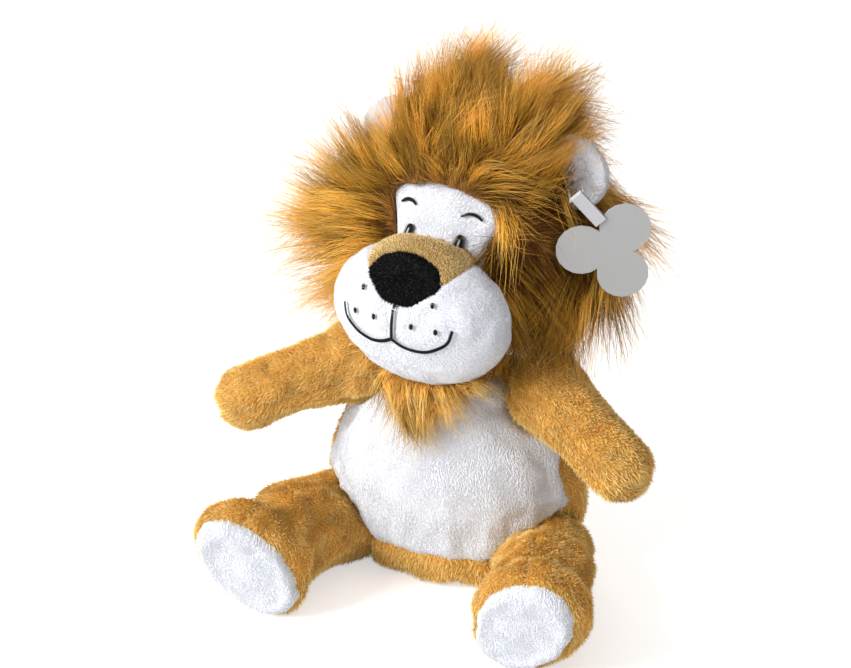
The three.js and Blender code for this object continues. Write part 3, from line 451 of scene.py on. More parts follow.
def in_room(obj):
    """Turns in the few tips that would stand out past the solids by more than that share and length, or hang
    through the floor.
    """
    low, high = (np.array(corner) for corner in cad_box)
    proud = PROUD_SHARE * (high - low) + PROUD
    co = np.zeros(len(obj.data.vertices) * 3)
    obj.data.vertices.foreach_get("co", co)
    co = np.clip(co.reshape(-1, 3), low - proud, high + proud)
    co[:, 2] = np.maximum(co[:, 2], LOWEST_TIP)
    obj.data.vertices.foreach_set("co", co.ravel())
    obj.data.update()
    return obj


# Materials


def new_material(name):
    """An empty material, its tree and its shader."""
    made = bpy.data.materials.new(name)
    made.use_nodes = True
    tree = made.node_tree
    return made, tree, tree.nodes["Principled BSDF"]


def grain_of(tree, scale, detail):
    """Noise in the object's own space, with about this many grains a metre."""
    place = add(tree, "ShaderNodeTexCoord").outputs["Object"]
    return add(tree, "ShaderNodeTexNoise", {"Vector": place, "Scale": scale, "Detail": detail}).outputs["Fac"]


def uneven(tree, grain, low, high):
    """Noise turned into a share between low and high."""
    return mapped(tree, grain, 0.3, 0.7, low, high)


def coloured(tree, shader, tone, shade):
    """Gives a shader a colour that a share makes lighter or darker."""
    toned = add(tree, "ShaderNodeHueSaturation", {"Value": shade, "Color": tone})
    tree.links.new(toned.outputs["Color"], shader.inputs["Base Color"])


def in_relief(tree, shader, height, distance, strength):
    """Gives a shader a fine relief."""
    relief = add(tree, "ShaderNodeBump", {"Height": height, "Distance": distance, "Strength": strength})
    tree.links.new(relief.outputs[0], shader.inputs["Normal"])


def pile_material(name, tones, depth, patch, sheen=0.2, roughness=0.8, vary=0.12):
    """Cut polyester pile: dark at the root as painted shade between the tufts, pale at the tip, with tufts of
    other shades and patches of painted sheen.
    """
    made, tree, shader = new_material(name)
    root, middle, tip = tones
    along = add(tree, "ShaderNodeAttribute", attribute_name="along").outputs["Fac"]
    # deep moves the painted shade of the roots further towards the tip, and below zero takes it back
    deep = add(tree, "ShaderNodeAttribute", attribute_name="deep").outputs["Fac"]
    along = add(tree, "ShaderNodeMath", {0: along, 1: deep}, operation="SUBTRACT").outputs[0]
    tint = add(tree, "ShaderNodeAttribute", attribute_name="tint").outputs["Fac"]
    ramp = add(tree, "ShaderNodeValToRGB", {"Fac": along})
    stops = ramp.color_ramp.elements
    stops[0].position, stops[0].color = 0.0, root
    stops[1].position, stops[1].color = 1.0, tip
    stops.new(depth).color = middle
    # Patches about 14 mm across are painted sheen: lighter and darker where the nap, brushed as a hand leaves
    # it, would reflect the light
    shade = uneven(tree, grain_of(tree, 70.0, 2.0), 1 - patch, 1 + patch)
    own = mapped(tree, tint, 0.0, 1.0, 1 - vary, 1 + vary)
    coloured(tree, shader, ramp.outputs["Color"], times(tree, shade, own))
    shader.inputs["Roughness"].default_value = roughness
    shader.inputs["Specular IOR Level"].default_value = 0.12
    shader.inputs["Sheen Weight"].default_value = sheen
    shader.inputs["Sheen Roughness"].default_value = 0.5
    shader.inputs["Sheen Tint"].default_value = tip
    return made


def backing_material(name, tone):
    """Knitted backing of plush under its pile: matt, with loops about a millimetre apart."""
    made, tree, shader = new_material(name)
    loops = grain_of(tree, 1 / (0.9 * MM), 3.0)
    coloured(tree, shader, tone, uneven(tree, loops, 0.8, 1.1))
    in_relief(tree, shader, loops, 0.4 * MM, 0.6)
    shader.inputs["Roughness"].default_value = 0.95
    return made


def thread_material(name, tone):
    """Polyester embroidery thread, twisted and slightly glossy along the stitch."""
    made, tree, shader = new_material(name)
    # Twist of the thread, drawn about 0.25 mm apart so that it shows
    in_relief(tree, shader, grain_of(tree, 4000.0, 1.0), 0.08 * MM, 0.5)
    shader.inputs["Base Color"].default_value = tone
    shader.inputs["Roughness"].default_value = 0.7
    shader.inputs["Specular IOR Level"].default_value = 0.25
    return made


def card_material(name, tone):
    """Uncoated grey card: matt, with a faint fibre grain."""
    made, tree, shader = new_material(name)
    fibres = grain_of(tree, 900.0, 4.0)
    coloured(tree, shader, tone, uneven(tree, fibres, 0.97, 1.02))
    in_relief(tree, shader, fibres, 0.03 * MM, 0.4)
    shader.inputs["Roughness"].default_value = 0.7
    return made


def plastic_material(name, tone, clear=0.0):
    """Extruded nylon or polypropylene: smooth, a little glossy, and partly clear where it is thin."""
    made, tree, shader = new_material(name)
    tree.links.new(uneven(tree, grain_of(tree, 500.0, 2.0), 0.38, 0.5), shader.inputs["Roughness"])
    shader.inputs["Base Color"].default_value = tone
    shader.inputs["Transmission Weight"].default_value = clear
    return made


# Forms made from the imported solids


def solid_of(names):
    """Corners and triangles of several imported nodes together."""
    corners, faces, start = [], [], 0
    for name in names:
        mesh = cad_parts[name].data
        co = np.zeros(len(mesh.vertices) * 3)
        mesh.vertices.foreach_get("co", co)
        mesh.calc_loop_triangles()
        tri = np.zeros(len(mesh.loop_triangles) * 3, int)
        mesh.loop_triangles.foreach_get("vertices", tri)
        corners.append(co.reshape(-1, 3))
        faces.append(tri.reshape(-1, 3) + start)
        start += len(mesh.vertices)
    return np.concatenate(corners), np.concatenate(faces)


def mesh_object(name, corners, faces):
    """A mesh object of these corners and faces, at the origin."""
    mesh = bpy.data.meshes.new(name)
    mesh.from_pydata(corners.tolist(), [], faces.tolist() if hasattr(faces, "tolist") else faces)
    mesh.update()
    obj = bpy.data.objects.new(name, mesh)
    bpy.context.scene.collection.objects.link(obj)
    return obj


def removed(obj):
    """Takes an object and its mesh out of the file."""
    mesh = obj.data
    bpy.data.objects.remove(obj)
    bpy.data.meshes.remove(mesh)


def arrays_of(obj):
    """Corners and four-sided faces of an object's mesh."""
    mesh = obj.data
    co = np.zeros(len(mesh.vertices) * 3)
    mesh.vertices.foreach_get("co", co)
    faces = np.array([p.vertices[:] for p in mesh.polygons if len(p.vertices) == 4], int)
    return co.reshape(-1, 3), faces


def remeshed(names, voxel):
    """One closed even skin of four-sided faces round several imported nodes."""
    corners, faces = solid_of(names)
    obj = mesh_object("working form", corners, faces)
    body = bmesh.new()
    body.from_mesh(obj.data)
    bmesh.ops.remove_doubles(body, verts=body.verts, dist=0.01 * MM)
    body.to_mesh(obj.data)
    body.free()
    modifier = obj.modifiers.new("Even", "REMESH")
    modifier.mode = "VOXEL"
    modifier.voxel_size = voxel
    settled(obj)
    made = arrays_of(obj)
    removed(obj)
    return outer_shell(*made)


def outer_shell(corners, faces):
    """The largest connected shell, without any closed hollow inside it."""
    group = np.arange(len(corners))
    edges = edges_of(faces)
    while True:
        lower = np.minimum(group[edges[:, 0]], group[edges[:, 1]])
        after = group.copy()
        np.minimum.at(after, edges[:, 0], lower)
        np.minimum.at(after, edges[:, 1], lower)
        after = after[after]
        if (after == group).all():
            break
        group = after
    kinds, counts = np.unique(group, return_counts=True)
    kept = group == kinds[counts.argmax()]
    index = np.cumsum(kept) - 1
    return corners[kept], index[faces[kept[faces[:, 0]]]]


def edges_of(faces):
    """Each edge of the faces once."""
    sides = np.concatenate([faces[:, [i, (i + 1) % faces.shape[1]]] for i in range(faces.shape[1])])
    return np.unique(np.sort(sides, axis=1), axis=0)


def mean_of_neighbours(values, edges):
    """For each corner, the mean of a value over the corners beside it."""
    count = len(values)
    degree = np.bincount(edges.ravel(), minlength=count)[:, None]
    total = np.stack([
        np.bincount(edges[:, 0], values[edges[:, 1], k], count)
        + np.bincount(edges[:, 1], values[edges[:, 0], k], count) for k in range(values.shape[1])], axis=1)
    return total / np.maximum(degree, 1)


def smoothed(corners, faces, rounds):
    """The skin with its facets smoothed away and its volume kept."""
    edges = edges_of(faces)
    out = corners.copy()
    for _ in range(rounds):
        for step in (0.6, -0.62):
            out += step * (mean_of_neighbours(out, edges) - out)
    return out


def normals_of(corners, faces):
    """Outward unit normal at each corner."""
    flat = np.cross(corners[faces[:, 2]] - corners[faces[:, 0]], corners[faces[:, 3]] - corners[faces[:, 1]])
    total = np.zeros_like(corners)
    for i in range(4):
        for k in range(3):
            total[:, k] += np.bincount(faces[:, i], flat[:, k], len(corners))
    return total / np.maximum(np.linalg.norm(total, axis=1, keepdims=True), 1e-12)


def tree_of(names):
    """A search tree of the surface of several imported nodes."""
    corners, faces = solid_of(names)
    return BVHTree.FromPolygons(corners.tolist(), faces.tolist())


def nearest(points, names):
    """For each point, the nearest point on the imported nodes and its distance."""
    search = tree_of(names)
    found = [search.find_nearest(Vector(p)) for p in points]
    return np.array([f[0] for f in found]), np.array([f[3] for f in found])


def fading_in(values, start, run):
    """A share that grows from 0 at the start to 1 a run above it."""
    return np.clip((values - start) / run, 0, 1)


def fading_out(values, end, run):
    """A share that falls from 1 to 0 at the end, over the run below it."""
    return np.clip((end - values) / run, 0, 1)


def close_to(values, middle, half):
    """A share that is 1 at the middle and falls to 0 half a band away."""
    return np.clip(1 - np.abs(values - middle) / half, 0, 1)


def unit(vectors):
    """Vectors of length 1."""
    return vectors / np.maximum(np.linalg.norm(vectors, axis=-1, keepdims=True), 1e-12)


def along_surface(vectors, normals):
    """The part of each vector that lies in the surface, of length 1."""
    return unit(vectors - normals * np.sum(vectors * normals, axis=1, keepdims=True))


def ripple(points, size, seed):
    """A smooth uneven value between -1 and 1 with waves of about this size, the same on each run."""
    chooser = np.random.default_rng(seed)
    total = np.zeros(len(points))
    for _ in range(6):
        wave = unit(chooser.normal(size=3)) * 2 * math.pi / (size * chooser.uniform(0.7, 1.5))
        total += np.sin(points @ wave + chooser.uniform(0, 2 * math.pi))
    return total / 3


# The stuffing's pressure, how much the cloth stretches, and how many steps it gets to settle
STUFFING_PRESSURE = 4
CLOTH_SHRINK = -0.04
CLOTH_STEPS = 12
HELD_LEAST = 0.02


def puffed(corners, faces, held, farthest):
    """Stuffs a skin: cloth under pressure swells between its held seams, and no point moves too far."""
    obj = mesh_object("working cloth", corners, faces)
    group = obj.vertex_groups.new(name="held")
    for index in np.nonzero(held > HELD_LEAST)[0]:
        group.add([int(index)], float(held[index]), "REPLACE")
    cloth = obj.modifiers.new("Cloth", "CLOTH")
    cloth.settings.vertex_group_mass = "held"
    cloth.settings.use_pressure = True
    cloth.settings.uniform_pressure_force = STUFFING_PRESSURE
    cloth.settings.shrink_min = CLOTH_SHRINK
    cloth.settings.effector_weights.gravity = 0
    cloth.collision_settings.use_collision = False
    scene = bpy.context.scene
    for step in range(1, CLOTH_STEPS + 1):
        scene.frame_set(step)
    settled(obj)
    after, _ = arrays_of(obj)
    removed(obj)
    scene.frame_set(1)
    moved = after - corners
    far = np.linalg.norm(moved, axis=1, keepdims=True)
    return corners + moved * np.minimum(1, farthest / np.maximum(far, NO_LENGTH))


# How a form is sewn, in millimetres: the size of its skin's faces, how far stuffing swells it, how thick its
# backing is, and its seams where they aren't the usual ones. The seeds are of its pile and its brushing.
Form = namedtuple("Form", "voxel swell backing pile_seed comb_seed fill seam_depth seam_width rounds",
                  defaults=(2, None, None, None, 6))
FORMS = {
    "trunk": Form(3.4, 2.2, 1.6, 1, 3, fill=0.8),
    "neck": Form(3, 0, 1.6, 9, fill=0.8),
    "arm": Form(2.6, 1.6, 1.6, 21, 11, fill=0.9),
    "leg": Form(2.8, 2.0, 1.6, 41, 31, fill=0.9),
    "head": Form(2.6, 0.4, 1.4, 51, fill=0.9, seam_depth=0.9, seam_width=2.2),
    "mane": Form(4, 0, 1.5, 71, seam_depth=0, rounds=5),
    "tuft": Form(2.2, 0, 1.2, 91, 82),
    "tail": Form(1.6, 0, 1.2, 95, 84, fill=0.8),
    "ear": Form(1.6, 0.6, 1.0, 101, fill=0.5, seam_depth=0.5, seam_width=1.6),
}
# A distance that stands for no seam at all
NO_SEAM = 1.0
# Corners within this reach of a seam move towards its line, by a share of the way and no further than the
# shift
SEAM_REACH = 3 * MM
SEAM_SHIFT = 1.5 * MM
SEAM_SHIFT_SHARE = 1.6
# How steeply a seam is drawn in
SEAM_STEEPNESS = 2.2
# Ripples of the seams and of the whole skin: how wide, how high and which seed
SEAM_RIPPLE = (11 * MM, 0.25, 5)
SKIN_RIPPLE = (13 * MM, 0.25 * MM, 9)
LOWEST_SKIN = 0.2 * MM
# A fold is a valley with a low swell beside it, and fades towards its ends
FOLD_SWELL_SHARE = 0.35
FOLD_SWELL_WIDTH_SHARE = 2.6
FOLD_END_SHARE = 0.04
FOLD_FADE_POWER = 0.7
# No pile grows on embroidery or where the toy sits on the floor: the bare width, and the width of the edge
BARE_ROUND_STITCHES = (1.2 * MM, 0.8 * MM)
BARE_ON_FLOOR = (1.2 * MM, 1.5 * MM)


class Skin:
    """The skin of one stuffed form, with the panel that each face belongs to."""

    def __init__(self, form, panels, inside=()):
        usual = bpy.context.scene.lion_pile
        self.form = FORMS[form]
        self.panels = panels
        voxel = self.form.voxel * MM
        corners, self.faces = remeshed([*panels, *inside], voxel)
        self.corners = smoothed(corners, self.faces, self.form.rounds)
        if self.form.swell:
            self.measure()
            held = np.clip(1 - (self.away - voxel) / voxel, 0, 1)
            self.corners = puffed(self.corners, self.faces, held, self.form.swell * MM)
            self.corners = smoothed(self.corners, self.faces, 1)
        self.refine()
        depth, width = self.form.seam_depth, self.form.seam_width
        self.draw_in(usual.seam_depth if depth is None else depth * MM,
                     usual.seam_width if width is None else width * MM)

    def measure(self):
        """Finds the nearest point of each panel, and how far away the seam is."""
        points, gaps = zip(*(nearest(self.corners, [name]) for name in self.panels))
        self.points, self.gaps = np.array(points), np.array(gaps)
        self.away = np.full(len(self.corners), NO_SEAM)
        if len(self.panels) > 1:
            self.away = np.sort(self.gaps, axis=0)[1]

    def refine(self):
        """Halves the faces, so that seams and folds have room, and gives each the panel nearest to it."""
        obj = mesh_object("working skin", self.corners, self.faces)
        modifier = obj.modifiers.new("Finer", "SUBSURF")
        modifier.levels = modifier.render_levels = 1
        settled(obj)
        self.corners, self.faces = arrays_of(obj)
        removed(obj)
        self.measure()
        self.normals = normals_of(self.corners, self.faces)
        self.label = self.gaps[:, self.faces].mean(axis=2).argmin(axis=0)
        if len(self.panels) > 1:
            self.fit_seams()

    def fit_seams(self):
        """Moves the corners between two panels onto the line of the seam."""
        low = np.full(len(self.corners), len(self.panels))
        high = np.full(len(self.corners), -1)
        for i in range(4):
            np.minimum.at(low, self.faces[:, i], self.label)
            np.maximum.at(high, self.faces[:, i], self.label)
        edge = np.nonzero((low != high) & (self.away < SEAM_REACH))[0]
        first, second = self.gaps.argsort(axis=0)[:2, edge]
        own = self.points[first, edge]
        target = (own + self.points[second, edge]) / 2
        on_panel = (self.gaps[first, edge] < NO_LENGTH)[:, None]
        shift = np.where(on_panel, target - self.corners[edge], target - own)
        shift -= self.normals[edge] * np.sum(shift * self.normals[edge], axis=1, keepdims=True)
        far = np.linalg.norm(shift, axis=1, keepdims=True)
        shift *= np.minimum(SEAM_SHIFT_SHARE, SEAM_SHIFT / np.maximum(far, NO_LENGTH))
        self.corners[edge] += shift
        self.normals = normals_of(self.corners, self.faces)

    def draw_in(self, depth, width):
        """Pulls the skin in along its seams, and makes it a little uneven."""
        if len(self.panels) > 1:
            size, share, seed = SEAM_RIPPLE
            pull = depth * np.exp(-(self.away / width) ** 2 * SEAM_STEEPNESS)
            pull *= 1 + share * ripple(self.corners, size, seed)
            self.corners = self.corners - self.normals * pull[:, None]
        size, height, seed = SKIN_RIPPLE
        self.corners += self.normals * (height * ripple(self.corners, size, seed))[:, None]
        self.corners[:, 2] = np.maximum(self.corners[:, 2], LOWEST_SKIN)
        self.normals = normals_of(self.corners, self.faces)

    def sink(self, depth):
        """Moves each corner in along its normal by its own depth."""
        self.corners = self.corners - self.normals * depth[:, None]
        self.normals = normals_of(self.corners, self.faces)

    def fold(self, start, end, depth, width):
        """Presses a fold into the skin along the straight line between two points, all in millimetres."""
        start, end = np.array(start) * MM, np.array(end) * MM
        line = end - start
        share = np.clip((self.corners - start) @ line / (line @ line), 0, 1)
        off = np.linalg.norm(self.corners - start - share[:, None] * line, axis=1)
        fade = np.sin(np.clip(share, FOLD_END_SHARE, 1 - FOLD_END_SHARE) * math.pi) ** FOLD_FADE_POWER
        valley = np.exp(-(off / (width * MM)) ** 2)
        swell = FOLD_SWELL_SHARE * np.exp(-(off / (FOLD_SWELL_WIDTH_SHARE * width * MM)) ** 2)
        self.sink(depth * MM * fade * (valley - swell))

    def panel(self, name, panels, comb, bare=(), rules=None, selection=None):
        """One panel as a closed shell, with the way its pile is brushed kept on its corners."""
        wanted = np.isin(self.label, [self.panels.index(p) for p in panels])
        if selection is not None:
            wanted &= selection
        faces = self.faces[wanted]
        used = np.unique(faces)
        index = np.full(len(self.corners), -1)
        index[used] = np.arange(len(used))
        faces = index[faces]
        corners, normals = self.corners[used], self.normals[used]
        sides = np.concatenate([faces[:, [i, (i + 1) % 4]] for i in range(4)])
        key = np.sort(sides, axis=1)
        _, where, counts = np.unique(key, axis=0, return_index=True, return_counts=True)
        rim = sides[where[counts == 1]]
        total = len(corners)
        walls = np.stack([rim[:, 1], rim[:, 0], rim[:, 0] + total, rim[:, 1] + total], axis=1)
        shell = np.concatenate([faces, faces[:, ::-1] + total, walls])
        both = np.concatenate([corners, corners - normals * self.form.backing * MM])
        obj = mesh_object(name, both, shell)
        heading = along_surface(comb(corners, normals), normals)
        amount = np.ones(total)
        if bare:
            _, gap = nearest(corners, list(bare))
            amount *= fading_in(gap, *BARE_ROUND_STITCHES)
        amount *= fading_in(corners[:, 2], *BARE_ON_FLOOR)
        keep(obj, "comb", np.concatenate([heading, heading]))
        keep(obj, "pile", np.concatenate([amount, np.zeros(total)]))
        # deep sets how far the painted shade of the roots reaches along the pile
        for trait, plain in (("reach", 1.0), ("rise", 1.0), ("deep", 0.0)):
            rule = (rules or {}).get(trait)
            values = np.full(total, plain) if rule is None else rule(corners, normals)
            keep(obj, trait, np.concatenate([values, values]))
        obj.data.shade_smooth()
        return obj


def keep(obj, name, values):
    """Stores a value or vector on each corner of an object."""
    kind = "FLOAT_VECTOR" if values.ndim == 2 else "FLOAT"
    made = obj.data.attributes.new(name, kind, "POINT")
    made.data.foreach_set("vector" if values.ndim == 2 else "value", values.astype(np.float32).ravel())


def masked_area(obj):
    """The area of an object's four-sided faces that carries pile."""
    corners, faces = arrays_of(obj)
    amount = np.zeros(len(corners))
    obj.data.attributes["pile"].data.foreach_get("value", amount)
    flat = np.cross(corners[faces[:, 2]] - corners[faces[:, 0]], corners[faces[:, 3]] - corners[faces[:, 1]])
    return float((np.linalg.norm(flat, axis=1) / 2 * amount[faces].mean(axis=1)).sum())


# How far short pile is brushed over, how much its tufts stray and how broad they are
BRUSHED = {"white_plush": (4.5, 0.26, 1.8)}
BRUSHED_USUALLY = (1.0, 0.55, 1.0)


def with_short_pile(obj, slot, density, reach, seed):
    """Grows short pile of one finish on a panel, with so many tufts on a square millimetre."""
    lean, scatter, broad = BRUSHED.get(slot, BRUSHED_USUALLY)
    skin, strands = finishes()[slot]
    width = bpy.context.scene.lion_pile.strand_width * broad
    return grown_by(obj, trees()["short"], {
        "Density": density * PER_SQUARE_MM, "Length": reach, "Width": width, "Lean": lean, "Scatter": scatter,
        "Seed": seed, "Skin material": skin, "Pile material": strands})


def usual_pile(slot, golden_share):
    """Density and length of the white or the golden pile of the body, golden pile denser by a share."""
    pile = bpy.context.scene.lion_pile
    if slot == "white_plush":
        return pile.face_density, pile.face_length
    return pile.body_density * golden_share, pile.body_length


def with_long_pile(obj, count, seed, lie):
    """Grows this many long strands on a panel, which lie on the trunk and the arms."""
    skin, strands = finishes()["mane_fur"]
    return grown_by(obj, trees()["long"], {
        "Density": count / masked_area(obj), "Rests on": support(), "Seed": seed, "Skin material": skin,
        "Pile material": strands, **lie})


def finished(obj, body, slot_name, nodes, fill=None):
    """Says what a piece rides on and hides the nodes that it stands for; the name of its finish is not used.
    """
    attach(obj, body)
    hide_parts(*nodes)


WORKSHOP = {}


def support():
    """The skins of trunk and arms as one object, for the mane and the beard to lie on."""
    if "support" not in WORKSHOP:
        corners, faces, start = [], [], 0
        for skin in WORKSHOP["stuffed"]:
            corners.append(skin.corners)
            faces.append(skin.faces + start)
            start += len(skin.corners)
        obj = mesh_object("working support", np.concatenate(corners), np.concatenate(faces))
        obj.hide_render = True
        WORKSHOP["support"] = obj
    return WORKSHOP["support"]


def trees():
    """The node trees, made once."""
    if "trees" not in WORKSHOP:
        WORKSHOP["trees"] = {"short": short_pile_tree(), "long": long_pile_tree(), "stitch": stitch_tree()}
    return WORKSHOP["trees"]


def finishes():
    """The materials, made once: plush as its backing and its pile, and the other finishes."""
    if "finishes" not in WORKSHOP:
        tones = bpy.context.scene.lion_colours
        golden = tones.golden_root_shade, tones.golden, tones.golden_tip
        white = tones.white_root_shade, tones.white, tones.white_tip
        tan = tones.tan_root_shade, tones.tan, tones.tan_tip
        black = tones.black, tones.black, tones.black_tip
        mane = tones.mane_root_shade, tones.mane, tones.mane_tip
        # Each backing takes its pile's root colour, which is painted shade, and the mane's backing takes its
        # skin colour, which is partly painted shade
        WORKSHOP["finishes"] = {
            "golden_plush": (backing_material("Golden plush backing", tones.golden_root_shade),
                             pile_material("Golden cut pile", golden, 0.45, 0.16)),
            "white_plush": (backing_material("White plush backing", tones.white_root_shade),
                            pile_material("White cut pile", white, 0.35, 0.01, sheen=0.1, vary=0.03)),
            "tan_plush": (backing_material("Tan plush backing", tones.tan_root_shade),
                          pile_material("Tan cut pile", tan, 0.45, 0.12)),
            "black_plush": (backing_material("Black plush backing", tones.black),
                            pile_material("Black cut pile", black, 0.5, 0.1, sheen=0.0)),
            "mane_fur": (backing_material("Mane backing", tones.mane_skin_shade),
                         pile_material("Long mane pile", mane, 0.42, 0.2, sheen=0.03, roughness=0.45,
                                       vary=0.75)),
            "dark_thread": thread_material("Dark polyester thread", tones.thread),
            "white_thread": thread_material("White polyester thread", tones.white_thread),
            "grey_card": card_material("Grey card", tones.card),
            "strap": plastic_material("White polypropylene strap", tones.strap),
            "clear_thread": plastic_material("Clear nylon thread", tones.nylon, clear=0.4),
        }
    return WORKSHOP["finishes"]


# How much the brushing of the white belly and of golden pile wanders, and how wide its waves are
WHITE_SWAY = 0.15
GOLDEN_SWAY = 0.35
FLOW_SIZE = 16 * MM
HEAD_FLOW_SIZE = 14 * MM


def flowing(vector, sway=GOLDEN_SWAY, seed=2):
    """A brushing direction that wanders a little from one vector."""
    def comb(points, normals):
        base = np.tile(np.array(vector, float), (len(points), 1))
        for offset, axis in enumerate((0, 2, 1)):
            base[:, axis] += sway * ripple(points, FLOW_SIZE, seed + offset)
        return base
    return comb


# The head is turned to its right by this angle
HEAD_TURN = math.radians(-11.4)
HEAD_ARRAY = np.array(Matrix.Rotation(HEAD_TURN, 3, "Z"))


def in_head(points):
    """Points as seen from the head before it turns to its side."""
    return points @ HEAD_ARRAY


def from_head(vectors):
    """Vectors of the head, turned with it."""
    return vectors @ HEAD_ARRAY.T


def away_from(x, y, z, sway=0.3, seed=4, bias=(0, 0, 0)):
    """A brushing direction of the head that leads away from a point in it."""
    def comb(points, normals):
        local = in_head(points)
        out = unit(local - np.array((x, y, z)) * MM) + np.array(bias)
        out = out + sway * np.stack([ripple(points, HEAD_FLOW_SIZE, seed + k) for k in range(3)], axis=1)
        return from_head(out)
    return comb


SIDES = (("left", 1), ("right", -1))


def to_side(place, sign):
    """A place or a way of the left side, or the same on the right side."""
    return sign * place[0], *place[1:]


# Golden pile is thinner on the trunk, and thicker on arms and legs
TRUNK_DENSITY_SHARE = 0.8
LIMB_DENSITY_SHARE = 1.2
# Tufts on a square millimetre and length of the pile on the neck
NECK_PILE = (0.25, 4 * MM)
DOWNWARDS = (0, 0, -1)
# How the pile of the left arm is brushed
ARM_WAY = (0.75, -0.5, -0.35)


class LIONPLUSH_OT_trunk(bpy.types.Operator):
    """Make the trunk of belly, back and seat panels, with the neck stub on it"""

    bl_idname = "lionplush.trunk"
    bl_label = "Trunk"

    def execute(self, context):
        rows = (
            ("belly", "belly_panel", "white_plush", DOWNWARDS, WHITE_SWAY, ["trunk_stuffing", "seat_pouch"]),
            ("back_left", "back_panel_left", "golden_plush", (0.2, 0, -1), GOLDEN_SWAY, []),
            ("back_right", "back_panel_right", "golden_plush", (-0.2, 0, -1), GOLDEN_SWAY, []),
            ("seat", "seat_panel", "golden_plush", (0, -0.4, -1), GOLDEN_SWAY, []),
        )
        skin = Skin("trunk", [panel for _, panel, *_ in rows], ["trunk_stuffing"])
        form = skin.form
        WORKSHOP["stuffed"] = [skin]
        for order, (name, panel, slot, way, sway, inside) in enumerate(rows):
            comb = flowing(way, sway, form.comb_seed + order)
            obj = skin.panel("plush_" + name, [panel], comb)
            with_short_pile(obj, slot, *usual_pile(slot, TRUNK_DENSITY_SHARE), form.pile_seed + order)
            finished(obj, "trunk", slot, [panel, *inside], form.fill)
        neck = Skin("neck", ["neck"])
        obj = neck.panel("plush_neck", ["neck"], flowing(DOWNWARDS))
        with_short_pile(obj, "mane_fur", *NECK_PILE, neck.form.pile_seed)
        finished(obj, "trunk", "mane_fur", ["neck"], neck.form.fill)
        return {"FINISHED"}


class LIONPLUSH_OT_arms(bpy.types.Operator):
    """Make both arms, each of an upper and an under panel"""

    bl_idname = "lionplush.arms"
    bl_label = "Arms"

    def execute(self, context):
        slot = "golden_plush"
        for side, sign in SIDES:
            stuffing = f"arm_{side}_stuffing"
            rows = (("upper", [stuffing]), ("under", []))
            skin = Skin("arm", [f"arm_{side}_{part}_panel" for part, _ in rows], [stuffing])
            form = skin.form
            WORKSHOP["stuffed"].append(skin)
            for order, (part, inside) in enumerate(rows):
                comb = flowing(to_side(ARM_WAY, sign), seed=form.comb_seed + order)
                obj = skin.panel(f"plush_arm_{side}_{part}", [skin.panels[order]], comb)
                with_short_pile(obj, slot, *usual_pile(slot, LIMB_DENSITY_SHARE), form.pile_seed + order)
                finished(obj, f"arm_{side}", slot, [skin.panels[order], *inside], form.fill)
        return {"FINISHED"}


# Folds of the left leg in millimetres: start, end, depth and width. The first two cross the ankle, the others
# lie where the thigh meets the trunk.
LEG_FOLDS = (
    ((76, -61, 56), (49, -84, 22), 6.5, 6),
    ((96, -52, 34), (68, -64, 56), 4.5, 8),
    ((70, -53, 52), (41, -40, 30), 5.5, 4),
    ((66, -22, 50), (44, -26, 40), 1.6, 5),
)
# How the pile of the left leg and of the soles is brushed, and how much that wanders
LEG_WAY = (0.25, -0.8, -0.5)
SOLE_WAY = (0, 0.1, -1)
LEG_SWAY = 0.45


class LIONPLUSH_OT_legs(bpy.types.Operator):
    """Make both legs, each of an outer and an inner panel and a white sole"""

    bl_idname = "lionplush.legs"
    bl_label = "Legs"

    def execute(self, context):
        for side, sign in SIDES:
            stuffing = f"leg_{side}_stuffing"
            forwards = to_side(LEG_WAY, sign)
            rows = (
                ("outer", f"leg_{side}_outer_panel", "golden_plush", forwards, [stuffing]),
                ("inner", f"leg_{side}_inner_panel", "golden_plush", forwards, []),
                ("sole", f"sole_{side}", "white_plush", SOLE_WAY, []),
            )
            skin = Skin("leg", [panel for _, panel, *_ in rows], [stuffing])
            form = skin.form
            for start, end, depth, width in LEG_FOLDS:
                skin.fold(to_side(start, sign), to_side(end, sign), depth, width)
            for order, (part, panel, slot, way, inside) in enumerate(rows):
                comb = flowing(way, LEG_SWAY, form.comb_seed + order)
                obj = skin.panel(f"plush_leg_{side}_{part}", [panel], comb)
                with_short_pile(obj, slot, *usual_pile(slot, LIMB_DENSITY_SHARE), form.pile_seed + order)
                finished(obj, f"leg_{side}", slot, [panel, *inside], form.fill)
        return {"FINISHED"}


EMBROIDERY = (
    ["mouth_line"]
    + [f"{part}_{side}" for part in ("eye", "eye_highlight", "brow") for side, _ in SIDES]
    + [f"whisker_dot_{side}_{spot}" for side, _ in SIDES for spot in ("upper", "inner", "outer")]
)
# Crease of the left cheek in millimetres: start, end, depth and width
CHEEK_FOLD = ((37, -39, 161), (22, -48, 138), 1.4, 4)
# Tufts on a square millimetre, denser than elsewhere because no backing may show
BRIDGE_DENSITY = 2.4
NOSE_DENSITY = 3.0
# The panels of the face reach this far past their solids: most in the middle, where no mane covers their edge
FACE_HALF_WIDTH = 25 * MM
FACE_BACK = -8 * MM
INNER_REACH = 5 * MM
OUTER_REACH = 1.4 * MM
EYE_LEVEL = 172 * MM
MORE_ABOVE_EYES = 4 * MM
# The fabric under the mane ends this far from the face, and has sparse pile: tufts, length and seed
UNDER_MANE_WIDTH = 16 * MM
UNDER_MANE_PILE = (0.02, 5 * MM, 59)
FACE_MIDDLE = (0, 0, 172)


def head_skin():
    """The skin of the head, made once for the panels and the embroidery."""
    if "head" not in WORKSHOP:
        panels = ["face_panel", "muzzle_panel", "nose_bridge", "nose"]
        WORKSHOP["head"] = Skin("head", panels, ["head_stuffing"])
        WORKSHOP["head"].fold(*CHEEK_FOLD)
    return WORKSHOP["head"]


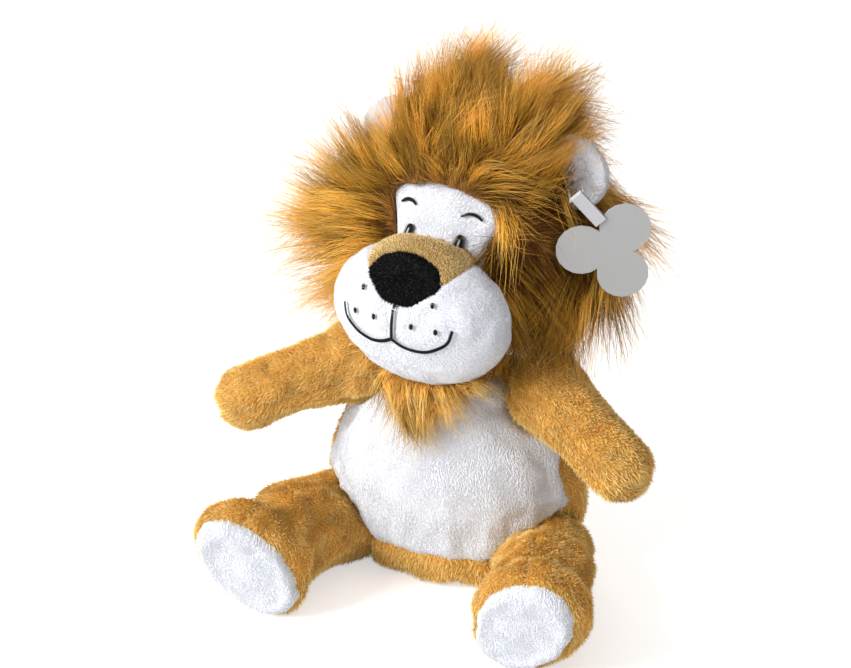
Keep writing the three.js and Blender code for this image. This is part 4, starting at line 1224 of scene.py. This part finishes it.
class LIONPLUSH_OT_face(bpy.types.Operator):
    """Make the forehead, the muzzle, the nose bridge, the nose and the fabric under the mane"""

    bl_idname = "lionplush.face"
    bl_label = "Face"

    def execute(self, context):
        pile, skin = context.scene.lion_pile, head_skin()
        form = skin.form
        white = pile.face_density, pile.face_length
        tan = BRIDGE_DENSITY, pile.face_length
        black = NOSE_DENSITY, pile.nose_length
        rows = (
            ("forehead", "face_panel", "white_plush", (0, 0, 160), white, []),
            ("muzzle", "muzzle_panel", "white_plush", (0, -50, 172), white, ["head_stuffing"]),
            ("nose_bridge", "nose_bridge", "tan_plush", (0, -60, 150), tan, []),
            ("nose", "nose", "black_plush", (0, -50, 190), black, []),
        )
        local = in_head(skin.corners[skin.faces].mean(axis=1))
        inner = (np.abs(local[:, 0]) < FACE_HALF_WIDTH) & (local[:, 1] < FACE_BACK)
        reached = np.where(inner, INNER_REACH, OUTER_REACH)
        reached += np.where(inner & (local[:, 2] > EYE_LEVEL), MORE_ABOVE_EYES, 0)
        covered = np.zeros(len(skin.faces), bool)
        for order, (name, node, slot, source, usual, inside) in enumerate(rows):
            index = skin.panels.index(node)
            near = skin.gaps[index][skin.faces].mean(axis=1) < reached
            covered |= near & (skin.label == index)
            obj = skin.panel("plush_" + name, [node], away_from(*source), bare=EMBROIDERY, selection=near)
            with_short_pile(obj, slot, *usual, form.pile_seed + order)
            finished(obj, "head", slot, [node, *inside], form.fill)
        edge = skin.gaps.min(axis=0)[skin.faces].mean(axis=1) < UNDER_MANE_WIDTH
        hidden = ~covered & edge
        under = skin.panel("plush_under_mane", skin.panels, away_from(*FACE_MIDDLE), selection=hidden)
        with_short_pile(under, "mane_fur", *UNDER_MANE_PILE)
        finished(under, "head", "mane_fur", ["head_stuffing"], form.fill)
        return {"FINISHED"}


MANE_CENTRE = np.array((0, -6, 172)) * MM
# Places round the face in degrees from straight up towards the lion's left, and how long and steep the mane
# is there and how far its skin is hollowed under it
MANE_TURNS = (-180, -135, -95, -60, -38, -15, 12, 35, 60, 100, 140, 180)
MANE_LENGTH_SHARES = (0.8, 1.15, 1.05, 1.2, 0.9, 0.95, 0.95, 1.15, 1.3, 1.0, 1.25, 0.8)
MANE_RISE_SHARES = (0.6, 1.0, 1.5, 1.8, 1.2, 1.5, 1.2, 1.4, 1.6, 1.0, 0.8, 0.6)
MANE_HOLLOWS = (12, 9, 8, 6, 14, 12, 12, 12, 12, 12, 10, 12)
# The hollows in millimetres grow outside an egg of these half sizes, and are whole this share beyond it
MANE_EGG_CENTRE = np.array((0, 26, 176)) * MM
MANE_EGG = np.array((52, 42, 46))
MANE_EGG_SHARE = 0.7
# The mane leads away from the face and somewhat back, and behind the head less outwards and more down
OUTWARD_LOSS_BEHIND = 0.7
SWEPT_BACK = 0.25
FALL_BEHIND = 0.9
# Where it hangs: the top at the lion's right, how much sooner it hangs by the tag, and the run of the change
HANG_TOP = 150 * MM
HANG_SOONER = 50 * MM
HANG_RUN = 40 * MM
HANG_SHARE = 0.85
TAG_SIDE_RUN = 30 * MM
# How hanging pile leads: outwards, less so by the tag, and forwards unless it is behind the head
HANG_OUTWARDS = 0.45
HANG_INWARDS_BY_TAG = 0.3
HANG_BACKWARDS = 0.1
HANG_FORWARDS = 0.6
# The fringe over the edge of the forehead: where it is in each direction, and how it leads
FRINGE_ACROSS = (32 * MM, 14 * MM)
FRINGE_FRONT = (8 * MM, 14 * MM)
FRINGE_TOP = (218 * MM, 14 * MM)
FRINGE_WAY = np.array((-0.5, -0.1, -1))
MANE_SWAY = 0.35
MANE_SWAY_SIZE = 30 * MM
MANE_SWAY_SEED = 61
# Pile by the face is shorter, up to this distance and over this run
SHORT_SHARE = 0.6
SHORT_UNTIL = (35 * MM, 25 * MM)
# Unevenness of its length: how much, how wide and which seed
LENGTH_RIPPLE = (0.14, 26 * MM, 68)
# Pile is shorter by the ears, by these shares and over this distance and run
SHORT_BY_EARS = (("ear_left_lining", 0.75), ("ear_right_lining", 0.45))
BY_EAR = (4 * MM, 16 * MM)
# The longest strand that clears the tag is looked for in these steps
TAG_NODES = ["tag_card", "tag_strap"]
TAG_STEP_SHARES = (1.2, 1.0, 0.8, 0.6, 0.4)
TAG_SPARE_SHARE = 0.15
TAG_CLEAR = 5 * MM
NO_LIMIT_SHARE = 9.0
# Behind the tag the pile lies flat, within this distance and run
FLAT_BY_TAG = (8 * MM, 22 * MM)
FLAT_SHARE = -0.3
# Painted shade of the parting beside the face, where the painted dark of the roots reaches further: where it
# is, how dark it gets and how dark pile may be
PARTING_ACROSS = (44 * MM, 24 * MM)
PARTING_TOP = (210 * MM, 20 * MM)
PARTING_FRONT = (30 * MM, 20 * MM)
PARTING_SHADE = 0.62
ROOT_SHADE_RIPPLE = (0.1, 18 * MM, 88)
DEEPEST = 0.7
# How steeply the mane stands, and how it sags, gathers, waves and strays
MANE_LIFT = 0.35
MANE_LIE = {"Lift": MANE_LIFT, "Droop": 0.14, "Lock pull": 0.66, "Wave": 3 * MM, "Stray": 0.3}
# The mane is cut in an upper and a lower piece at this height, and its back piece has fewer strands
MANE_CUT = 176 * MM
BACK_COUNT_SHARE = 0.55
# Pile that faces the middle of the head by more than this cosine, over this run, is left out
HEAD_MIDDLE = np.array((0, 26, 170)) * MM
FACING_IN = (-0.4, 0.2)


def round_face(local, values):
    """The value that the mane has at each point, by its place round the face."""
    turn = np.degrees(np.arctan2(local[:, 0], local[:, 2] - MANE_CENTRE[2]))
    return np.interp(turn, MANE_TURNS, values)


def mane_comb(points, normals):
    """The mane radiates from the face, sweeps back over the head and hangs at the sides and the back."""
    local = in_head(points)
    radial = unit((local - MANE_CENTRE) * np.array((1, 0, 1)))
    behind = np.clip(in_head(normals)[:, 1], 0, 1)
    way = radial * (1 - OUTWARD_LOSS_BEHIND * behind)[:, None]
    way[:, 1] += SWEPT_BACK
    way[:, 2] -= FALL_BEHIND * behind
    tagged = fading_in(local[:, 0], 0, TAG_SIDE_RUN)
    hang = fading_out(local[:, 2], HANG_TOP + HANG_SOONER * tagged, HANG_RUN)[:, None]
    sideways = HANG_OUTWARDS * np.sign(local[:, 0]) - HANG_INWARDS_BY_TAG * tagged
    lengthways = HANG_BACKWARDS - HANG_FORWARDS * (1 - behind)
    falling = np.stack([sideways, lengthways, -np.ones(len(points))], axis=1)
    way = way * (1 - HANG_SHARE * hang) + falling * HANG_SHARE * hang
    fringe = close_to(local[:, 0], *FRINGE_ACROSS) * fading_out(local[:, 1], *FRINGE_FRONT)
    fringe = (fringe * fading_out(local[:, 2], *FRINGE_TOP) * (local[:, 2] > MANE_CENTRE[2]))[:, None]
    way = way * (1 - fringe) + FRINGE_WAY * fringe
    sways = [ripple(points, MANE_SWAY_SIZE, MANE_SWAY_SEED + k) for k in range(3)]
    way += MANE_SWAY * np.stack(sways, axis=1)
    return from_head(way)


def mane_reach(points, normals):
    """How long the pile of the mane is: short by the face and the ears, longest at the lion's right."""
    local = in_head(points)
    behind = np.clip(in_head(normals)[:, 1], 0, 1)
    away = np.linalg.norm((local - MANE_CENTRE) * np.array((1, 0, 1)), axis=1)
    share = SHORT_SHARE + (1 - SHORT_SHARE) * fading_in(away, *SHORT_UNTIL)
    share *= round_face(local, MANE_LENGTH_SHARES) * (1 - behind) + behind
    amount, size, seed = LENGTH_RIPPLE
    share *= 1 + amount * ripple(points, size, seed)
    for ear, least in SHORT_BY_EARS:
        _, gap = nearest(points, [ear])
        share *= least + (1 - least) * fading_in(gap, *BY_EAR)
    return np.minimum(share, room_to_tag(points, normals))


def room_to_tag(points, normals):
    """How far the pile can reach before it comes up to the card or the strap of the tag."""
    whole = bpy.context.scene.lion_pile.mane_length
    heading = along_surface(mane_comb(points, normals), normals)
    heading = unit(heading + normals * MANE_LIFT * mane_rise(points, normals)[:, None])
    room = np.full(len(points), NO_LIMIT_SHARE)
    for share in TAG_STEP_SHARES:
        _, gap = nearest(points + heading * share * whole, TAG_NODES)
        room = np.where(gap < TAG_CLEAR, share - TAG_SPARE_SHARE, room)
    return room


def mane_painted_shade(points, normals):
    """How far the painted shade of the roots reaches: further beside the face on the side of the tag, where
    the pile parts.
    """
    local = in_head(points)
    share = close_to(local[:, 0], *PARTING_ACROSS) * fading_out(local[:, 2], *PARTING_TOP)
    share *= fading_out(local[:, 1], *PARTING_FRONT)
    amount, size, seed = ROOT_SHADE_RIPPLE
    spread = np.clip(0.5 + 0.5 * ripple(points, size, seed), 0, 1)
    return np.clip(PARTING_SHADE * share + amount * spread, 0, DEEPEST)


def mane_rise(points, normals):
    """How steeply the pile of the mane stands: steep at the crown, and flat behind the tag."""
    share = round_face(in_head(points), MANE_RISE_SHARES)
    _, to_tag = nearest(points, TAG_NODES)
    return share * (fading_in(to_tag, *FLAT_BY_TAG) * (1 - FLAT_SHARE) + FLAT_SHARE)


class LIONPLUSH_OT_mane(bpy.types.Operator):
    """Make the mane of long pile, in left, right and back panels of an upper and a lower piece each"""

    bl_idname = "lionplush.mane"
    bl_label = "Mane"

    def execute(self, context):
        pile = context.scene.lion_pile
        skin = Skin("mane", ["mane_left", "mane_right", "mane_back"])
        self.hollow(skin)
        height = in_head(skin.corners[skin.faces].mean(axis=1))[:, 2]
        rules = {"reach": mane_reach, "rise": mane_rise, "deep": mane_painted_shade}
        lie = {"Length": pile.mane_length, "Width": pile.mane_width, "Lock size": pile.lock_size, **MANE_LIE}
        seed = skin.form.pile_seed
        for panel in skin.panels:
            count = pile.mane_count * (BACK_COUNT_SHARE if panel == "mane_back" else 1.0)
            for half, chosen in (("upper", height > MANE_CUT), ("lower", height <= MANE_CUT)):
                obj = skin.panel(f"plush_{panel}_{half}", [panel], mane_comb, selection=chosen, rules=rules)
                self.clear_inside(obj)
                with_long_pile(obj, count, seed, lie)
                finished(obj, "head", "mane_fur", [panel])
                seed += 1
        return {"FINISHED"}

    def hollow(self, skin):
        """Draws the skin in under the pile, less so near the face."""
        local = in_head(skin.corners)
        out = local - MANE_EGG_CENTRE
        far = np.linalg.norm(out / MANE_EGG, axis=1) / MM - 1
        depth = round_face(local, MANE_HOLLOWS) * MM * fading_in(far, 0, MANE_EGG_SHARE)
        skin.corners = skin.corners - from_head(unit(out)) * depth[:, None]
        skin.normals = normals_of(skin.corners, skin.faces)

    def clear_inside(self, obj):
        """Leaves no pile where the mane lies on the head."""
        count = len(obj.data.vertices)
        co, normal = np.zeros(count * 3), np.zeros(count * 3)
        obj.data.vertices.foreach_get("co", co)
        obj.data.vertices.foreach_get("normal", normal)
        outward = unit(in_head(co.reshape(-1, 3)) - HEAD_MIDDLE)
        facing = np.sum(outward * in_head(normal.reshape(-1, 3)), axis=1)
        mask = obj.data.attributes["pile"]
        amount = np.zeros(count)
        mask.data.foreach_get("value", amount)
        amount *= fading_in(facing, *FACING_IN)
        mask.data.foreach_set("value", amount.astype(np.float32))


# Pile so thin that light reaches its roots, so the painted shade of the roots is taken back
THIN_PILE_ROOT_SHADE = -0.38
# How the strands of beard and tail lie
TUFT_LIE = {"Width": 0.27 * MM, "Lift": 0.15, "Droop": 0.1, "Lock size": 5 * MM, "Lock pull": 0.65,
            "Wave": 4 * MM, "Stray": 0.4}
BEARD_LENGTH = 20 * MM
BEARD_COUNT = 2000
BEARD_SWAY = 0.35
# The beard leads away from this point under the chin, and is brushed to its left, forwards and down
UNDER_CHIN = (-3, -22, 127)
BEARD_BIAS = (0.25, -0.4, -0.35)
TAIL_TUFT_LENGTH = 18 * MM
TAIL_TUFT_COUNT = 900
TAIL_TUFT_SWAY = 0.4
TAIL_TUFT_WAY = (-0.8, 0.6, 0.1)
TAIL_WAY = (-0.7, 0.7, -0.2)
# Tufts on a square millimetre and length of the pile on the tail
TAIL_PILE = (1.2, 2.4 * MM)


def root_shade_of_thin_pile(points, normals):
    """Painted shade of the roots for the beard and the tail's tuft, taken back and the same all over."""
    return np.full(len(points), THIN_PILE_ROOT_SHADE)


class LIONPLUSH_OT_tufts(bpy.types.Operator):
    """Make the long tuft under the chin, the tail and the tuft at its end"""

    bl_idname = "lionplush.tufts"
    bl_label = "Beard and tail"

    def execute(self, context):
        form = FORMS["tuft"]
        under_chin = away_from(*UNDER_CHIN, sway=BEARD_SWAY, bias=BEARD_BIAS)
        behind = flowing(TAIL_TUFT_WAY, TAIL_TUFT_SWAY, form.comb_seed)
        rows = (("chin_tuft", "head", BEARD_LENGTH, under_chin, BEARD_COUNT),
                ("tail_tuft", "tail", TAIL_TUFT_LENGTH, behind, TAIL_TUFT_COUNT))
        for order, (node, body, reach, comb, count) in enumerate(rows):
            obj = Skin("tuft", [node]).panel("plush_" + node, [node], comb, rules={"deep": root_shade_of_thin_pile})
            with_long_pile(obj, count, form.pile_seed + order, {"Length": reach, **TUFT_LIE})
            finished(obj, body, "mane_fur", [node])
        tube = Skin("tail", ["tail_tube"])
        obj = tube.panel("plush_tail", ["tail_tube"], flowing(TAIL_WAY, seed=tube.form.comb_seed))
        with_short_pile(obj, "golden_plush", *TAIL_PILE, tube.form.pile_seed)
        finished(obj, "tail", "golden_plush", ["tail_tube"], tube.form.fill)
        removed(support())
        return {"FINISHED"}


# Pile of the ears: how much denser than on the face, and how long
EAR_DENSITY_SHARE = 1.2
EAR_PILE_LENGTH = 2.4 * MM
# The pile of the left ear leads away from this point
EAR_ROOT = (50, 27, 195)
# The lining is dished towards the back of the ear: what is left between them, the share of the rest, the most
DISH_LEFT = 2.5 * MM
DISH_SHARE = 0.9
DISH_MOST = 6 * MM


class LIONPLUSH_OT_ears(bpy.types.Operator):
    """Make both ears, each of a lining and a back"""

    bl_idname = "lionplush.ears"
    bl_label = "Ears"

    def execute(self, context):
        density = context.scene.lion_pile.face_density * EAR_DENSITY_SHARE
        for side, sign in SIDES:
            skin = Skin("ear", [f"ear_{side}_lining", f"ear_{side}_back"])
            self.dish(skin)
            for order, panel in enumerate(skin.panels):
                obj = skin.panel("plush_" + panel, [panel], away_from(*to_side(EAR_ROOT, sign)))
                with_short_pile(obj, "white_plush", density, EAR_PILE_LENGTH, skin.form.pile_seed + order)
                finished(obj, "head", "white_plush", [panel], skin.form.fill)
        return {"FINISHED"}

    def dish(self, skin):
        """Sinks the middle of the lining, up to where it would meet the back of the ear."""
        _, to_back = nearest(skin.corners, skin.panels[1:])
        lining = np.zeros(len(skin.corners), bool)
        lining[skin.faces[skin.label == 0]] = True
        skin.sink(np.clip((to_back - DISH_LEFT) * DISH_SHARE, 0, DISH_MOST) * lining)


# Rays towards the face start this far in front, and a stitch this far behind the first lies past the edge
RAY_START = -0.3
PAST_EDGE = 8 * MM
# A stitched patch is an oval a little squarer than an ellipse, with no stitch shorter than a share
OVAL_POWER = 2.6
OVAL_LEAST_SHARE = 0.05
OVAL_ROOT = 0.4
# Stitches overlap, so the pitch is a share of the thread's width
PITCH_SHARE = 0.8
# Embroidery in millimetres of the head before it turns: marks are from side to side and upwards, for the left
# side where there are two, and each piece has its width or half sizes and its lift above the skin
SMILE = ((0, 143.4), (5.5, 141.2), (12, 140.2), (18, 140.9), (23.8, 143.8), (27.6, 147), (29.2, 152.6))
MOUTH_SEAM = ((0, 160), (0, 152), (0, 143.4))
MOUTH_WIDTH = 2.0
MOUTH_LIFT = 1.6
EYE = (13.2, 180.2)
EYE_HALVES = (3.6, 4.7)
EYE_LIFT = 1.4
GLINT = (13.0, 181.0)
GLINT_HALVES = (0.7, 1.2)
GLINT_LIFT = 1.9
BROW = ((12.4, 193.2), (15.4, 194.4), (18.8, 194.0), (22.2, 191.9))
BROW_WIDTH = 2.1
BROW_TAPER_SHARE = 0.4
BROW_LIFT = 1.3
WHISKER_DOTS = (("upper", (18.9, 162.8)), ("inner", (10.1, 151.9)), ("outer", (21.9, 151.3)))
WHISKER_HALVES = (1.3, 1.3)
WHISKER_LIFT = 1.3


def on_head(points, lift, panel=None):
    """Marks laid on the skin of the head, or on one panel of it, with its normals there."""
    skin = head_skin()
    faces = skin.faces
    if panel is not None:
        index = skin.panels.index(panel)
        faces = faces[(skin.label == index) & (skin.gaps[index][faces].mean(axis=1) < INNER_REACH)]
    search = BVHTree.FromPolygons(in_head(skin.corners).tolist(), faces.tolist())
    laid, normals = [], []
    for x, z in points:
        hit, normal, _, _ = search.ray_cast(Vector((x * MM, RAY_START, z * MM)), Vector((0, 1, 0)))
        missed = hit is None
        if missed and panel is None:
            raise RuntimeError(f"no face lies behind ({x}, {z})")
        # On one panel, marks past its edge are left out
        if missed or (panel and laid and abs(hit.y - laid[0].y) > PAST_EDGE):
            continue
        laid.append(hit + normal * lift * MM)
        normals.append(normal)
    return from_head(np.array(laid)), from_head(np.array(normals))


def path_points(marks, pitch):
    """Points a pitch apart along a smooth line through the marks."""
    marks = np.array(marks, float)
    padded = np.concatenate([[2 * marks[0] - marks[1]], marks, [2 * marks[-1] - marks[-2]]])
    fine = []
    for i in range(1, len(padded) - 2):
        a, b, c, d = padded[i - 1:i + 3]
        for t in np.linspace(0, 1, 40, endpoint=False):
            fine.append(0.5 * (2 * b + (c - a) * t + (2 * a - 5 * b + 4 * c - d) * t * t
                               + (3 * b - a - 3 * c + d) * t ** 3))
    fine.append(marks[-1])
    fine = np.array(fine)
    gone = np.concatenate([[0], np.cumsum(np.linalg.norm(np.diff(fine, axis=0), axis=1))])
    at = np.arange(0, gone[-1], pitch)
    return np.stack([np.interp(at, gone, fine[:, k]) for k in range(2)], axis=1)


def line_stitches(marks, width, pitch, lift, taper=0.0):
    """Stitches laid across a line: their middles, normals, ways across and spans."""
    flat = path_points(marks, pitch)
    middle, normal = on_head(flat, lift)
    across = unit(np.cross(np.gradient(middle, axis=0), normal))
    share = np.linspace(0, 1, len(flat))
    span = width * MM * (1 - taper * np.abs(2 * share - 1) ** 2)
    return middle, normal, across, span


def patch_stitches(centre, halves, pitch, lift, panel=None):
    """Stitches laid side by side over an oval: their middles, normals, ways across and spans."""
    half_width, half_height = halves
    heights = np.arange(half_height - pitch / 2, -half_height, -pitch)
    middle, normal = on_head([(centre[0], centre[1] + h) for h in heights], lift, panel)
    if panel:
        # The patch is flat and goes on straight behind the edge of the panel
        seen = heights[:len(middle)]
        lines = [np.polyfit(seen, middle[:, k], 1) for k in range(3)]
        middle = np.stack([np.polyval(line, heights) for line in lines], axis=1)
        normal = np.tile(unit(normal.mean(axis=0)), (len(heights), 1))
    right = from_head(np.array([[1.0, 0, 0]]))[0]
    across = along_surface(np.tile(right, (len(heights), 1)), normal)
    oval = np.maximum(1 - np.abs(heights / half_height) ** OVAL_POWER, OVAL_LEAST_SHARE) ** OVAL_ROOT
    return middle, normal, across, 2 * half_width * MM * oval


class LIONPLUSH_OT_embroidery(bpy.types.Operator):
    """Sew the eyes, the brows, the mouth and the whisker dots"""

    bl_idname = "lionplush.embroidery"
    bl_label = "Embroidery"

    def execute(self, context):
        pitch = context.scene.lion_pile.thread * PITCH_SHARE / MM
        lines = ([to_side(mark, -1) for mark in SMILE[::-1]], SMILE, MOUTH_SEAM)
        parts = [line_stitches(marks, MOUTH_WIDTH, pitch, MOUTH_LIFT) for marks in lines]
        self.sew("mouth_line", parts, "dark_thread", name="stitched_mouth")
        for side, sign in SIDES:
            eye = patch_stitches(to_side(EYE, sign), EYE_HALVES, pitch, EYE_LIFT, "face_panel")
            self.sew(f"eye_{side}", [eye], "dark_thread")
            glint = patch_stitches(to_side(GLINT, sign), GLINT_HALVES, pitch, GLINT_LIFT, "face_panel")
            self.sew(f"eye_highlight_{side}", [glint], "white_thread")
            marks = [to_side(mark, sign) for mark in BROW]
            brow = line_stitches(marks, BROW_WIDTH, pitch, BROW_LIFT, BROW_TAPER_SHARE)
            self.sew(f"brow_{side}", [brow], "dark_thread")
            for spot, mark in WHISKER_DOTS:
                dot = patch_stitches(to_side(mark, sign), WHISKER_HALVES, pitch, WHISKER_LIFT)
                self.sew(f"whisker_dot_{side}_{spot}", [dot], "dark_thread")
        return {"FINISHED"}

    def sew(self, node, parts, slot, name=None):
        """Lays the stitches of one piece."""
        middle, normal, across, span = (np.concatenate(rows) for rows in zip(*parts))
        obj = mesh_object(name or f"stitched_{node}", middle, [])
        keep(obj, "lift", normal)
        keep(obj, "across", across)
        keep(obj, "span", span)
        grown_by(obj, trees()["stitch"], {
            "Width": bpy.context.scene.lion_pile.thread, "Material": finishes()[slot]})
        obj.data.shade_smooth()
        finished(obj, "head", slot, [node])


class LIONPLUSH_OT_tag(bpy.types.Operator):
    """Finish the blank card, its strap and its thread loop"""

    bl_idname = "lionplush.tag"
    bl_label = "Hang tag"

    def execute(self, context):
        for node, slot in (("tag_card", "grey_card"), ("tag_strap", "strap"), ("tag_thread", "clear_thread")):
            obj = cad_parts[node]
            obj.data.materials.clear()
            obj.data.materials.append(finishes()[slot])
        return {"FINISHED"}


# Area lamps: name, place, size and power, all turned towards the middle of the toy
LAMPS = (
    ("Key", (-1.0, -1.1, 0.95), 0.8, 29),
    ("Fill", (1.0, -1.3, 0.6), 1.3, 0.3),
    ("Rim", (-0.5, 1.2, 1.2), 1.0, 6),
)
LAMP_TARGET = Vector((0, 0, 0.13))
STUDIO_LIGHT = 0.38
FLOOR_HALF = 3.0
# White paper glows a little to the camera, so that the shadow on it is soft and pale
FLOOR_GLOW = 0.55
SENSOR_WIDTH = 36
LENS = 95.395
# The camera looks from this side and height in degrees
CAMERA_SIDE = 21.9275
CAMERA_HEIGHT = 25.4254
CAMERA_PLACE = (0.354115, -0.912963, 0.591099)


class LIONPLUSH_OT_stage(bpy.types.Operator):
    """Set the floor, the lamps, the background and the camera"""

    bl_idname = "lionplush.stage"
    bl_label = "Stage"

    def execute(self, context):
        scene = context.scene
        scene.view_settings.view_transform = "Standard"
        self.floor(scene)
        self.world(scene)
        for row in LAMPS:
            self.lamp(scene, *row)
        self.camera(scene)
        return {"FINISHED"}

    def floor(self, scene):
        """Lays plain paper under the toy."""
        corners = np.array([(-1, -1, 0), (1, -1, 0), (1, 1, 0), (-1, 1, 0)]) * FLOOR_HALF
        obj = mesh_object("floor", corners, [(0, 1, 2, 3)])
        made, tree, shader = new_material("Matt white backdrop paper")
        shader.inputs["Base Color"].default_value = scene.lion_colours.floor
        shader.inputs["Roughness"].default_value = 0.9
        in_relief(tree, shader, grain_of(tree, 400.0, 2.0), 0.05 * MM, 1.0)
        glow = add(tree, "ShaderNodeEmission", {"Color": (1, 1, 1, 1), "Strength": FLOOR_GLOW})
        both = add(tree, "ShaderNodeAddShader", {0: shader.outputs[0], 1: glow.outputs[0]})
        path = add(tree, "ShaderNodeLightPath")
        mixed = add(tree, "ShaderNodeMixShader", {0: path.outputs["Is Camera Ray"], 1: shader.outputs[0],
                                                  2: both.outputs[0]})
        tree.links.new(mixed.outputs[0], tree.nodes["Material Output"].inputs["Surface"])
        obj.data.materials.append(made)

    def world(self, scene):
        """Sets soft light from all sides, and plain white where the background is seen."""
        world = bpy.data.worlds.new("Studio")
        scene.world = world
        world.use_nodes = True
        tree = world.node_tree
        tree.nodes.clear()
        soft = add(tree, "ShaderNodeBackground", {"Color": linear("#FBFBFC"), "Strength": STUDIO_LIGHT})
        plain = add(tree, "ShaderNodeBackground", {"Color": (1, 1, 1, 1), "Strength": 1.0})
        path = add(tree, "ShaderNodeLightPath").outputs
        seen = path["Is Camera Ray"]
        for kind in ("Is Glossy Ray", "Is Transmission Ray"):
            seen = add(tree, "ShaderNodeMath", {0: seen, 1: path[kind]}, operation="MAXIMUM").outputs[0]
        mixed = add(tree, "ShaderNodeMixShader", {0: seen, 1: soft.outputs[0], 2: plain.outputs[0]})
        end = tree.nodes.new("ShaderNodeOutputWorld")
        tree.links.new(mixed.outputs[0], end.inputs["Surface"])

    def lamp(self, scene, name, place, size, energy):
        """Hangs one area lamp."""
        data = bpy.data.lights.new(name, "AREA")
        data.size = size
        data.energy = energy
        obj = bpy.data.objects.new(name, data)
        obj.location = place
        obj.rotation_mode = "QUATERNION"
        obj.rotation_quaternion = (LAMP_TARGET - Vector(place)).to_track_quat("-Z", "Y")
        scene.collection.objects.link(obj)

    def camera(self, scene):
        """Sets the camera where the photograph was taken from."""
        data = bpy.data.cameras.new("Camera")
        data.sensor_width = SENSOR_WIDTH
        data.sensor_fit = "HORIZONTAL"
        data.lens = LENS
        obj = bpy.data.objects.new("Camera", data)
        side, height = math.radians(CAMERA_SIDE), math.radians(CAMERA_HEIGHT)
        level = math.cos(height)
        back = Vector((math.sin(side) * level, -math.cos(side) * level, math.sin(height)))
        obj.location = CAMERA_PLACE
        obj.rotation_mode = "QUATERNION"
        obj.rotation_quaternion = (-back).to_track_quat("-Z", "Y")
        scene.collection.objects.link(obj)
        scene.camera = obj


class LIONPLUSH_PT_panel(bpy.types.Panel):
    """Lists the sizes, the colours and the pieces"""

    bl_idname = "LIONPLUSH_PT_panel"
    bl_label = "Plush lion"
    bl_space_type = "VIEW_3D"
    bl_region_type = "UI"
    bl_category = "Plush lion"

    def draw(self, context):
        for group in (context.scene.lion_pile, context.scene.lion_colours):
            box = self.layout.box()
            for name in group.bl_rna.properties.keys():
                if name not in ("rna_type", "name"):
                    box.prop(group, name)
        for kind in PIECES:
            self.layout.operator(kind.bl_idname)


PIECES = (
    LIONPLUSH_OT_trunk, LIONPLUSH_OT_arms, LIONPLUSH_OT_legs, LIONPLUSH_OT_face, LIONPLUSH_OT_ears,
    LIONPLUSH_OT_mane, LIONPLUSH_OT_tufts, LIONPLUSH_OT_embroidery, LIONPLUSH_OT_tag, LIONPLUSH_OT_stage,
)
CLASSES = (LionPile, LionColours, *PIECES, LIONPLUSH_PT_panel)


def register():
    for kind in CLASSES:
        bpy.utils.register_class(kind)
    bpy.types.Scene.lion_pile = bpy.props.PointerProperty(type=LionPile)
    bpy.types.Scene.lion_colours = bpy.props.PointerProperty(type=LionColours)


def unregister():
    del bpy.types.Scene.lion_pile
    del bpy.types.Scene.lion_colours
    for kind in reversed(CLASSES):
        bpy.utils.unregister_class(kind)


def main():
    register()
    for kind in PIECES:
        group, name = kind.bl_idname.split(".")
        getattr(getattr(bpy.ops, group), name)()


if __name__ == "__main__":
    main()
